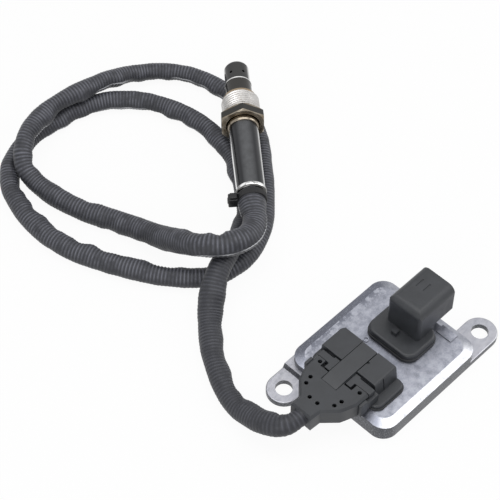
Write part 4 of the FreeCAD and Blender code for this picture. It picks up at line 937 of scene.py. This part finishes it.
def ring_mesh(name: str, rows: list[Row], columns: int, closed: bool) -> Mesh:
    """Sweeps a profile round the probe's axis, where each row may change with the angle.

    Args:
        name: The mesh's name.
        rows: For each row of the profile, the function that gives station and radius, in millimetres.
        columns: How many columns go round.
        closed: Whether the last row joins the first.

    Returns:
        The mesh, in the probe's frame and in millimetres.
    """
    points, faces = [], []
    for row in rows:
        for angle in (math.tau * column / columns for column in range(columns)):
            station, radius = row(angle)
            points.append((radius * math.cos(angle), radius * math.sin(angle), station))
    for row in range(len(rows) if closed else len(rows) - 1):
        here, after = row * columns, (row + 1) % len(rows) * columns
        for column in range(columns):
            side = (column + 1) % columns
            faces.append((here + column, here + side, after + side, after + column))
    mesh = bpy.data.meshes.new(name)
    mesh.from_pydata(points, [], faces)
    return mesh


def moved(mesh: Mesh, place: Matrix) -> Mesh:
    """Applies a place to a mesh and turns its faces outwards.

    Args:
        mesh: The mesh.
        place: The matrix to apply.

    Returns:
        The same mesh.
    """
    mesh.transform(place)
    work = bmesh.new()
    work.from_mesh(mesh)
    bmesh.ops.remove_doubles(work, verts=work.verts[:], dist=WELD)
    bmesh.ops.recalc_face_normals(work, faces=work.faces[:])
    work.to_mesh(mesh)
    work.free()
    return mesh


def steady(station: float, radius: float) -> Row:
    """Gives a row of a swept profile that is the same at every angle."""
    return lambda angle: (station, radius)


def tag(mesh: Mesh, name: str, domain: str, values: object) -> None:
    """Gives each point or face of a mesh a number under a name."""
    mesh.attributes.new(name, "FLOAT", domain).data.foreach_set("value", values)


def merged(name: str, meshes: list[Mesh], marks: tuple[str, ...] = ()) -> Mesh:
    """Joins meshes into one and keeps the numbers that their faces carry.

    Args:
        name: The new mesh's name.
        meshes: The meshes to join.
        marks: The names of the faces' numbers to keep; a mesh without one counts as 0.

    Returns:
        The joined mesh.
    """
    points, faces = [], []
    kept: dict[str, list[float]] = {mark: [] for mark in marks}
    for mesh in meshes:
        first = len(points)
        points += [tuple(vertex.co) for vertex in mesh.vertices]
        faces += [tuple(first + corner for corner in face.vertices) for face in mesh.polygons]
        for mark, values in kept.items():
            own = mesh.attributes.get(mark)
            values += [item.value for item in own.data] if own else [0.0] * len(mesh.polygons)
    whole = bpy.data.meshes.new(name)
    whole.from_pydata(points, [], faces)
    for mark, values in kept.items():
        tag(whole, mark, "FACE", values)
    return whole


def brick(name: str, centre: Point, size: Point, rounding: float) -> Mesh:
    """Makes a block with rounded edges.

    Args:
        name: The mesh's name.
        centre: Its centre, in millimetres in the probe's frame.
        size: Its lengths.
        rounding: The width of the rounding.

    Returns:
        The mesh.
    """
    work = bmesh.new()
    bmesh.ops.create_cube(work, size=1.0, matrix=Matrix.Translation(centre) @ Matrix.Diagonal((*size, 1)))
    bmesh.ops.bevel(work, geom=work.edges[:], offset=rounding, segments=3, profile=0.5, affect="EDGES")
    return written(work, name)


# ---- the room ----


@dataclass(frozen=True)
class Lamp:
    """One soft lamp; it shines straight down where it has a heading, otherwise at the object's middle."""

    name: str
    place: Point
    size: tuple[float, float]
    watts: float
    heading: float | None = None

    def hang(self, target: Point) -> None:
        """Hangs the lamp.

        Args:
            target: The object's middle.
        """
        data = bpy.data.lights.new(self.name, "AREA")
        data.shape = "RECTANGLE"
        data.size, data.size_y = self.size
        data.energy = self.watts
        lamp = placed(self.name, data)
        lamp.location = self.place
        if self.heading is None:
            lamp.rotation_euler = (Vector(target) - Vector(self.place)).to_track_quat("-Z", "Y").to_euler()
        else:
            lamp.rotation_euler = (0, 0, math.radians(self.heading))


@dataclass
class Studio:
    """The floor, the lamps and the camera."""

    target: Point = (0.00431, 0.09358, 0.0)
    heading: float = VIEW_HEADING
    height: float = 51.77
    distance: float = 0.83225
    lens: float = 118.7
    sensor: float = 36.0
    clip: tuple[float, float] = (0.01, 50.0)
    soft_light: float = 0.4
    floor_radius: float = 4.0
    floor_colour: Colour = (0.86, 0.86, 0.86)
    floor_white: float = 0.94
    lamps: tuple[Lamp, ...] = (Lamp("overhead", (0.07, 0.08, 1.1), (1.3, 0.8), 6.8, -VIEW_HEADING),
                               Lamp("right_side", (1.0, -0.5, 0.6), (0.5, 0.7), 3.4),
                               Lamp("left_side", (-0.9, -0.35, 0.45), (0.5, 0.7), 3.4))

    def camera(self) -> None:
        """Places the camera at the photograph's angle."""
        turn, lift = math.radians(self.heading), math.radians(self.height)
        away = Vector((-math.sin(turn) * math.cos(lift), -math.cos(turn) * math.cos(lift), math.sin(lift)))
        data = bpy.data.cameras.new("camera")
        data.lens = self.lens
        data.sensor_width = self.sensor
        data.clip_start, data.clip_end = self.clip
        eye = placed("camera", data)
        eye.location = Vector(self.target) + away * self.distance
        eye.rotation_euler = (-away).to_track_quat("-Z", "Y").to_euler()
        bpy.context.scene.camera = eye

    @staticmethod
    def seen_directly(sheet: NodeSheet) -> Term:
        """Adds the test that is 1 where a camera, mirror or glass ray arrives.

        Args:
            sheet: The node tree.

        Returns:
            The test's output.
        """
        camera, mirror, glass = (sheet.term("ShaderNodeLightPath", output=f"Is {kind} Ray")
                                 for kind in ("Camera", "Glossy", "Transmission"))
        return camera.calc("MAXIMUM", mirror).calc("MAXIMUM", glass)

    def floor(self) -> None:
        """Lays the pale floor, white to the eye, which keeps a soft share of the shadow."""
        work = bmesh.new()
        bmesh.ops.create_circle(work, cap_ends=True, radius=self.floor_radius, segments=64)
        mesh = written(work, "floor")
        sheet = ShaderSheet("floor")
        matt = sheet.finish(Base_Color=self.floor_colour, Roughness=0.9, Specular_IOR_Level=0)
        mesh.materials.append(matt)
        blend = sheet.term("ShaderNodeMixShader", {0: self.seen_directly(sheet) * self.floor_white,
                                                   1: Term(sheet, sheet.shader.outputs[0]),
                                                   2: sheet.term("ShaderNodeEmission", {"Strength": 1.0})})
        sheet.feed(sheet.tree.nodes["Material Output"], {"Surface": blend})
        placed("floor", mesh)

    def world(self) -> None:
        """Surrounds the scene with plain soft light that the eye sees as white."""
        world = bpy.data.worlds.new("studio")
        bpy.context.scene.world = world
        world.use_nodes = True
        sheet = NodeSheet(world.node_tree)
        level = sheet.span(self.seen_directly(sheet), 0, 1, self.soft_light, 1)
        sheet.feed(sheet.tree.nodes["Background"], {"Color": (1, 1, 1), "Strength": level})

    def build(self) -> None:
        """Sets the whole room up."""
        bpy.context.scene.view_settings.view_transform = "Standard"
        self.camera()
        self.floor()
        self.world()
        for lamp in self.lamps:
            lamp.hang(self.target)


# ---- the cable ----


@dataclass
class Loom:
    """The sleeved cable in its two loops, from the probe's tail to the plug's outlet.

    The route's points and the radii are in millimetres. girth, slit_turns and folds give pairs of a place,
    counted in the route's points, and the sleeve's radius, its slit's turn in degrees or its fold's height
    there. cuff_girth gives stations on the probe's axis and radii.
    """

    route: tuple[Point, ...] = (
        (9.36, 95.62, 20.5), (4.86, 90.26, 20.5), (-6.4, 86.2, 24.4), (-17.3, 89.4, 26.6),
        (-24.6, 98.6, 25.6), (-26.2, 112.8, 17.5), (-27.2, 129.6, 8.3), (-31.4, 149.3, 4.8),
        (-39.2, 167, 4.8), (-43.8, 185, 4.8),
        (-44.9, 200, 5.1), (-44.9, 209.6, 10), (-38.3, 217.9, 15.3), (-21.2, 227, 15.2), (0.2, 227.2, 15.3),
        (21.2, 225, 12.9), (42.7, 222.8, 5.9), (59.5, 211.1, 4.8), (69, 192.9, 4.8), (71.2, 167.2, 4.8),
        (61.9, 142.7, 4.8), (44.3, 122.3, 4.8), (27, 104, 4.8), (10.1, 91.9, 4.8), (-6.9, 88, 4.8),
        (-23, 91.2, 4.8), (-35.6, 102.9, 4.8), (-46.6, 120.1, 4.8), (-56.2, 140.5, 4.8), (-63.9, 163.5, 4.8),
        (-62.8, 190.5, 4.8), (-53.3, 215, 4.8), (-33.5, 226.9, 4.8), (-5.7, 227.1, 4.8), (17.7, 220.9, 4.8),
        (33.9, 205.9, 4.8), (43.1, 184.1, 4.8), (45.1, 159.4, 4.8), (36.9, 135, 4.8), (22.6, 113.3, 4.8),
        (5.3, 101, 7.9), (-10.9, 92, 15.9), (-24.8, 87.2, 15.9), (-35.3, 81.1, 11.8), (-44.1, 73.3, 5.1),
        (-55.2, 60.1, 4.8), (-63.9, 46, 4.8), (-69.2, 31.3, 5.1), (-70, 18.3, 8.8), (-69.4, 10.6, 12.6),
        (-67.3, 3.4, 15.6), (-62.6, 0, 16.75), (-57.8, 0, 16.75))
    girth: Table = (
        (0, 6.0), (2, 6.0), (3, 5.5), (4, 5.8), (5, 6.0), (7, 5.5), (9, 5.2), (11, 4.9), (15, 4.9),
        (17, 4.5), (20, 4.5), (22, 4.8), (25, 4.9), (27, 5.3), (30, 5.2), (32, 4.9), (35, 4.9), (38, 4.8),
        (41, 4.8), (43, 5.8), (43.6, 6.3), (44.5, 6.2), (45.3, 5.8), (46, 5.6), (47, 5.4), (50, 5.6),
        (51.2, 5.0), (52, 4.4))
    diameter: float = 0.0096
    rib_pitch: float = RIB_PITCH
    rib_height: float = 0.00014
    lap_height: float = 0.00045
    lap_span: tuple[float, float] = (0.8, 0.97)
    waver: float = 0.0016
    waver_scale: float = 75.0
    buckle: float = 0.0042
    buckle_scale: float = 70.0
    buckle_level: float = 0.55
    floor_gap: float = 0.0001
    slit_turns: Table = (
        (0, -153), (1.5, -160), (2.5, -166), (3.2, -180), (4, -194), (5, -225), (9, -325), (12, -310),
        (15, -345), (28, -345), (31, -310), (34, -330), (40, -340), (43, -210), (52, -210))
    folds: Table = (
        (1.4, 0), (1.9, 0.9), (2.3, -0.8), (2.8, 1.1), (3.3, -0.6), (3.8, 0.9), (4.5, 0), (42.4, 0),
        (43.1, 0.9), (44, 0.7), (44.6, 0.6), (45.3, -0.1), (46.1, -0.6), (46.7, 0.1), (47.2, -0.2),
        (47.9, -0.9), (48.8, 1.0), (50, 0))
    cuff_girth: Table = ((-61.2, 6.0), (-58, 6.45), (-54, 6.8), (-50, 6.9), (-47.4, 6.9))
    cuff_turn: float = 205.0
    line_resolution: int = 16
    bend_reach: int = 24
    least_bend: float = 0.002
    rings_per_rib: int = 6
    wall_points: int = 24
    seed: int = 7
    seed_stride: float = 1.7

    def spline(self) -> Object:
        """Draws the route as one smooth spline.

        Returns:
            The curve object.
        """
        data = bpy.data.curves.new("sleeve_line", "CURVE")
        data.dimensions = "3D"
        data.resolution_u = self.line_resolution
        line = data.splines.new("NURBS")
        line.points.add(len(self.route) - 1)
        for point, place in zip(line.points, self.route):
            point.co = (*(MM * value for value in place), 1)
        line.order_u = 3
        line.use_endpoint_u = True
        return placed("sleeve_line", data)

    @staticmethod
    def line_points(curve: Object) -> list[Vector]:
        """Reads the points of a curve's smooth line and removes the curve.

        Args:
            curve: The curve object, without a bevel.

        Returns:
            The points in order.
        """
        mesh = baked(curve, "sleeve_line_points")
        points = [vertex.co.copy() for vertex in mesh.vertices]
        bpy.data.meshes.remove(mesh)
        return points

    def carrier(self, name: str, points: list[Vector], girths: np.ndarray, folds: np.ndarray,
                turns: np.ndarray) -> Object:
        """Makes a chain of points that carries the sleeve's girth, folds, turn and inner side.

        Args:
            name: The object's name.
            points: The line's points.
            girths: The sleeve's radius at each, in millimetres.
            folds: How far the inner side stands proud at each, in millimetres.
            turns: How far the sleeve's slit is turned about the line at each, in degrees.

        Returns:
            The object.
        """
        mesh = bpy.data.meshes.new(name)
        mesh.from_pydata(points, [(first, first + 1) for first in range(len(points) - 1)], [])
        for title, values in (("girth", girths * MM), ("fold", folds * MM), ("turn", np.radians(turns))):
            tag(mesh, title, "POINT", values)
        line = np.array([tuple(point) for point in points])
        reach = min(self.bend_reach, len(points) // 3)
        bend = np.zeros_like(line)
        bend[reach:-reach] = line[2 * reach:] + line[:-2 * reach] - 2 * line[reach:-reach]
        bend[:, 2] = 0
        bend /= np.maximum(np.linalg.norm(bend, axis=1, keepdims=True), self.least_bend)
        mesh.attributes.new("inner", "FLOAT_VECTOR", "POINT").data.foreach_set("vector", bend.ravel())
        return placed(name, mesh)

    def tree(self) -> ShapeTree:
        """Writes the tree that sweeps the ribbed, lapped sleeve along the line.

        Returns:
            The tree.
        """
        made = ShapeTree("ribbed_sleeve")
        pitch, height = made.number("Rib Pitch", self.rib_pitch), made.number("Rib Height", self.rib_height)
        rings = made.number("Rings per Rib", self.rings_per_rib)
        radius = made.number("Nominal Radius", self.diameter / 2)
        around = made.number("Wall Points", self.wall_points)
        lap, seed = made.number("Lap Height", self.lap_height), made.number("Seed", self.seed)
        waver, buckle = made.number("Waver", self.waver), made.number("Buckle", self.buckle)
        position, outward = made.step("InputPosition"), made.step("InputNormal")

        # the line, with the radius that its ribs leave
        line = made.step("MeshToCurve", {"Mesh": made.entering()})
        line = made.step("ResampleCurve", {"Curve": line, "Length": pitch / rings}, mode="LENGTH")
        line = made.step("SetCurveNormal", {"Curve": line}, mode="Z_UP")
        line = made.step("SetCurveTilt", {"Curve": line, "Tilt": made.carried("turn")})
        line, along = made.captured(line, made.step("SplineParameter", output="Length"))
        phase = along / pitch * math.tau
        wide = made.carried("girth") + phase.calc("COSINE") * (height * -0.5)

        # the ring, with the lap of its slit
        ring = made.step("CurvePrimitiveCircle", {"Resolution": around, "Radius": 1.0})
        ring, share = made.captured(ring, made.step("SplineParameter", output="Factor"))
        bulge = made.span(share, *self.lap_span, 0, 1) * (lap / radius) + 1.0
        grown = made.term("ShaderNodeVectorMath", {0: position, "Scale": bulge}, operation="SCALE")
        ring = made.step("SetPosition", {"Geometry": ring, "Position": grown})
        tube = made.step("CurveToMesh", {"Curve": line, "Scale": wide, "Profile Curve": ring,
                                         "Fill Caps": True})

        # the wall, pushed out by waver and folds and held above the floor
        wavy = made.term("ShaderNodeTexNoise", {"Vector": position, "W": seed * self.seed_stride,
                                                "Scale": self.waver_scale, "Detail": 3.0},
                         noise_dimensions="4D")
        crumpled = made.term("ShaderNodeTexNoise", {"W": along, "Scale": self.buckle_scale, "Detail": 1.0},
                             noise_dimensions="1D")
        side = made.term("ShaderNodeVectorMath", {0: outward, 1: made.carried("inner", "FLOAT_VECTOR")},
                         output="Value", operation="DOT_PRODUCT").calc("MAXIMUM", 0.0)
        pinch = (made.carried("fold") + (crumpled - self.buckle_level) * buckle) * side
        push = (wavy - 0.5) * waver + pinch
        offset = made.term("ShaderNodeVectorMath", {0: outward, "Scale": push}, operation="SCALE")
        tube = made.step("SetPosition", {"Geometry": tube, "Offset": offset})
        across, ahead, up = made.split(position)
        resting = made.term("ShaderNodeCombineXYZ", {0: across, 1: ahead,
                                                     2: up.calc("MAXIMUM", self.floor_gap)})
        tube = made.step("SetPosition", {"Geometry": tube, "Position": resting})

        # what the finish reads: the length along the sleeve and round it
        cloth = made.term("ShaderNodeCombineXYZ", {0: along, 1: share * (radius * math.tau)})
        tube = made.step("StoreNamedAttribute", {"Geometry": tube, "Name": "cloth", "Value": cloth},
                         data_type="FLOAT_VECTOR", domain="POINT")
        made.close(made.step("SetShadeSmooth", {"Geometry": tube}), RACK.material("loom_sleeve"))
        return made

    def build(self) -> list[Object]:
        """Returns:
            The pieces.
        """
        points = self.line_points(self.spline())
        last = len(self.route) - 1
        marks = np.clip(np.linspace(-0.5, last + 0.5, len(points)), 0, last)
        tree = self.tree()
        tables = (self.girth, self.folds, self.slit_turns)
        line = self.carrier("sleeve_line", points, *(np.interp(marks, *zip(*table)) for table in tables))
        sleeve = add_piece("sensor_cable_sleeve", tree.grow(line, "sensor_cable_sleeve"), "sensor_cable")
        stations, girths = (np.array(values) for values in zip(*self.cuff_girth))
        tail = [Vector(PROBE.hub) + PROBE.ahead() * station * MM for station in stations]
        end = self.carrier("cuff_line", tail, girths, girths * 0, girths * 0 + self.cuff_turn)
        cuff = add_piece("cable_cuff_sleeve", tree.grow(end, "cable_cuff_sleeve"), "cable_cuff")
        tie = add_piece("cable_tie_strap", CableTie().mesh(), "cable_tie")
        length = sum((after - before).length for before, after in zip(points, points[1:]))
        LOG.info("cable length %.1f mm", length / MM)
        tuple(points[0])
        return [sleeve, cuff, tie]


@dataclass(frozen=True)
class CableTie:
    """The tie round the cuff: a ridged strap, its head block and the stub of its tail, in millimetres.

    rim gives how far each step of the strap's edges lies from its end, and the step's radius.
    """

    strap_start: float = -47.95
    strap_end: float = -51.65
    rim: Table = ((0.0, 6.85), (0.0, 7.4), (0.25, 7.6))
    ridged_inset: float = 0.6
    ridged_radius: float = 7.5
    ridge: float = 0.18
    columns: int = 144
    head: Point = (5.4, 4.9, 5.0)
    latch: Point = (3.4, 5.6, 1.7)
    head_centre: Point = (0.0, 9.6, -49.8)
    rounding: float = 0.6
    latch_rounding: float = 0.3
    stub: Point = (1.7, 3.6, 3.6)
    stub_centre: Point = (-3.1, 9.4, -49.8)
    stub_rounding: float = 0.35

    def ridged(self, station: float) -> Row:
        """Gives a row of the strap whose radius ripples with its ridges."""
        return lambda angle: (station, self.ridged_radius
                              + self.ridge * (round(angle * self.columns / math.tau) % 2))

    def mesh(self) -> Mesh:
        """Makes the tie.

        Returns:
            The mesh, in place.
        """
        rows = [steady(self.strap_start - inset, radius) for inset, radius in self.rim]
        rows += [self.ridged(self.strap_start - self.ridged_inset),
                 self.ridged(self.strap_end + self.ridged_inset)]
        rows += [steady(self.strap_end + inset, radius) for inset, radius in reversed(self.rim)]
        blocks = [ring_mesh("strap", rows, self.columns, True),
                  brick("head", self.head_centre, self.head, self.rounding),
                  brick("latch", self.head_centre, self.latch, self.latch_rounding),
                  brick("stub", self.stub_centre, self.stub, self.stub_rounding)]
        return soften(moved(merged("cable_tie_strap", blocks), PROBE.matrix()), Edge.NONE, crease=35)


# ---- the groups of pieces ----


@dataclass
class ControlUnit:
    """The cast unit with its plate, and what is sealed inside."""

    def build(self) -> list[Object]:
        """Dresses the unit.

        Returns:
            Its pieces.
        """
        paint("housing_seal", "circuit_board", "processor_chip", "heater_driver", "capacitors")
        return [dress("control_housing", Edge.CAST, crease=17), dress("base_plate", Edge.TURNED)]


@dataclass
class Connectors:
    """The power connector, the sensor socket and the plug that is latched into it, with their seals."""

    moulded: tuple[str, ...] = ("power_connector", "sensor_socket", "plug_body", "plug_cover",
                                "plug_lock_slide", "left_latch", "right_latch", "power_connector_seal",
                                "sensor_socket_seal")

    def build(self) -> list[Object]:
        """Dresses the mouldings and paints what they hold.

        Returns:
            The pieces.
        """
        paint("sensor_socket_pins", "plug_terminals", "plug_seal", "cable_grommet", "lead_wires")
        pieces = [dress(node, Edge.MOULDED) for node in self.moulded]
        return pieces + [dress("power_connector_pins", Edge.TURNED)]


@dataclass(frozen=True)
class SwivelNut:
    """The nut's hexagon with its grooved rear face, and its rolled thread, in millimetres."""

    flats: float = 22.0
    length: float = 5.4
    chamfer_start: float = 11.35
    chamfer_depth: float = 0.75
    chamfer_steps: int = 4
    bore: float = 8.75
    bore_chamfer: float = 0.25
    shoulder: float = 9.5
    shank_bore: float = 7.28
    groove: tuple[float, float, float] = (9.5, 10.0, 0.3)
    pitch: float = 1.5
    root: float = 9.08
    depth: float = 0.92
    crest_span: tuple[float, float] = (0.2, 0.88)
    lead_in: float = 1.1
    weld: float = 0.0008
    thread_start: float = 6.5
    thread_end: float = 17.4
    rows_per_turn: int = 8
    columns: int = 96

    def hexagon(self, angle: float) -> float:
        """Gives the hexagon's radius at an angle, where its corners lie at whole sixths of a turn."""
        return self.flats / 2 / math.cos(angle % (math.pi / 3) - math.pi / 6)

    def turned_corner(self, station: float, depth: float) -> Row:
        """Gives a row of the chamfer that a lathe cuts off the hexagon's corners."""
        return lambda angle: (station, min(self.hexagon(angle), self.chamfer_start + depth * math.sqrt(3)))

    def body(self) -> Mesh:
        """Makes all of the nut but its thread, and marks its faces that lie across the axis.

        Returns:
            The mesh, in the probe's frame.
        """
        inner, outer, sunk = self.groove
        depths = [self.chamfer_depth * step / self.chamfer_steps for step in range(self.chamfer_steps + 1)]
        rear = ((self.thread_end, self.root), (self.thread_end, self.shank_bore),
                (self.shoulder, self.shank_bore), (self.shoulder, self.bore), (self.bore_chamfer, self.bore),
                (0, self.bore + self.bore_chamfer), (0, inner), (sunk, inner), (sunk, outer), (0, outer))
        rows = [steady(*place) for place in rear]
        rows += [self.turned_corner(depth, depth) for depth in depths]
        flats = len(rows) - 1
        rows += [self.turned_corner(self.length - depth, depth) for depth in reversed(depths)]
        rows += [steady(self.length, self.root), steady(self.thread_start, self.root)]
        mesh = ring_mesh("nut_body", rows, self.columns, False)
        across = [float(face // self.columns != flats) for face in range(len(mesh.polygons))]
        tag(mesh, "across", "FACE", across)
        return mesh

    def thread(self) -> Mesh:
        """Rolls the thread with a tree that shears a grid along the helix and bends it round.

        Returns:
            The mesh, in the probe's frame.
        """
        made = ShapeTree("rolled_thread")
        pitch, depth = made.number("Pitch", self.pitch), made.number("Thread Depth", self.depth)
        root, slope = made.number("Root Radius", self.root), made.number("Lead-in Slope", self.lead_in)
        start, end = made.number("Start", self.thread_start), made.number("End", self.thread_end)
        steps = made.number("Rows per Turn", self.rows_per_turn)
        columns = made.number("Columns", self.columns)

        # a grid of whole turns, each point with its share of a turn and its row
        turns = ((end - start) / pitch).calc("CEIL")
        wide = columns + 1.0
        grid = made.step("MeshGrid", {"Vertices X": (turns + 1.0) * steps + 1.0, "Vertices Y": wide})
        index = made.step("InputIndex")
        share = index.calc("MODULO", wide) / columns
        row = ((index + 0.5) / wide).calc("FLOOR") / steps

        # its station on the helix, and its radius from the thread's profile
        climb = (row + share - 1.0) * pitch
        station = (start + climb).calc("MAXIMUM", start).calc("MINIMUM", end)
        done = station - start
        phase = (done / pitch - share).calc("FRACT")
        rise = (phase * 2.0 - 1.0).calc("ABSOLUTE")
        crest = made.span(rise, *self.crest_span, 0, 1) * depth
        tapered = ((end - station) * slope).calc("MINIMUM", done * slope)
        radius = root + crest.calc("MINIMUM", tapered)
        angle = share * math.tau
        place = made.term("ShaderNodeCombineXYZ", {0: radius * angle.calc("COSINE"),
                                                   1: radius * angle.calc("SINE"), 2: station})
        bent = made.step("SetPosition", {"Geometry": grid, "Position": place})
        joined = made.step("MergeByDistance", {"Geometry": bent, "Distance": self.weld})
        stored = made.step("StoreNamedAttribute", {"Geometry": joined, "Name": "rolled", "Value": 1.0},
                           data_type="FLOAT", domain="FACE")
        made.close(stored, RACK.material("nut_steel"))
        return made.grow(placed("thread_carrier", bpy.data.meshes.new("thread_carrier")), "nut_thread")

    def mesh(self) -> Mesh:
        """Makes the whole nut.

        Returns:
            The mesh, in place.
        """
        body = soften(self.body(), Edge.NONE)
        whole = merged("mounting_nut_turned", [body, self.thread()], ("across", "rolled"))
        return soften(moved(whole, PROBE.matrix()), Edge.NONE, crease=24)


@dataclass
class Probe:
    """The probe: its steel sleeve and end ring, swivel nut, housing and perforated tip, in millimetres."""

    ring_outline: Table = (
        (-44.2, 5.4), (-44.2, 7.35), (-44.35, 7.62), (-44.7, 7.82), (-45.2, 7.92), (-45.8, 7.9),
        (-46.35, 7.72), (-46.8, 7.4), (-47.1, 7.0), (-47.2, 6.5), (-47.2, 5.4))
    columns: int = 96

    def end_ring(self) -> Mesh:
        """Turns the rounded ring that closes the sleeve's rear end.

        Returns:
            The mesh, in place.
        """
        rows = [steady(*place) for place in self.ring_outline]
        ring = ring_mesh("sleeve_end_ring_turned", rows, self.columns, True)
        return soften(moved(ring, PROBE.matrix()), Edge.NONE, crease=40)

    def build(self) -> list[Object]:
        """Dresses the probe.

        Returns:
            The pieces.
        """
        paint("rear_bush", "ceramic_insulator", "ceramic_element", "ceramic_packing")
        pieces = [dress(node, Edge.TURNED) for node in
                  ("probe_sleeve", "probe_housing", "inner_protection_tube", "outer_protection_tube")]
        pieces.append(add_piece("sleeve_end_ring_turned", self.end_ring(), "sleeve_end_ring"))
        pieces.append(add_piece("mounting_nut_turned", SwivelNut().mesh(), "mounting_nut", Body.NUT))
        return pieces


def main() -> None:
    """Builds the room and every group of pieces."""
    logging.basicConfig(level=logging.INFO, format="%(name)s: %(message)s", stream=sys.stdout)
    Studio().build()
    for group in (Loom(), ControlUnit(), Connectors(), Probe()):
        for piece in group.build():
            LOG.info("%s: %s, %d faces", type(group).__name__, piece.name, len(piece.data.polygons))


if __name__ == "__main__":
    main()
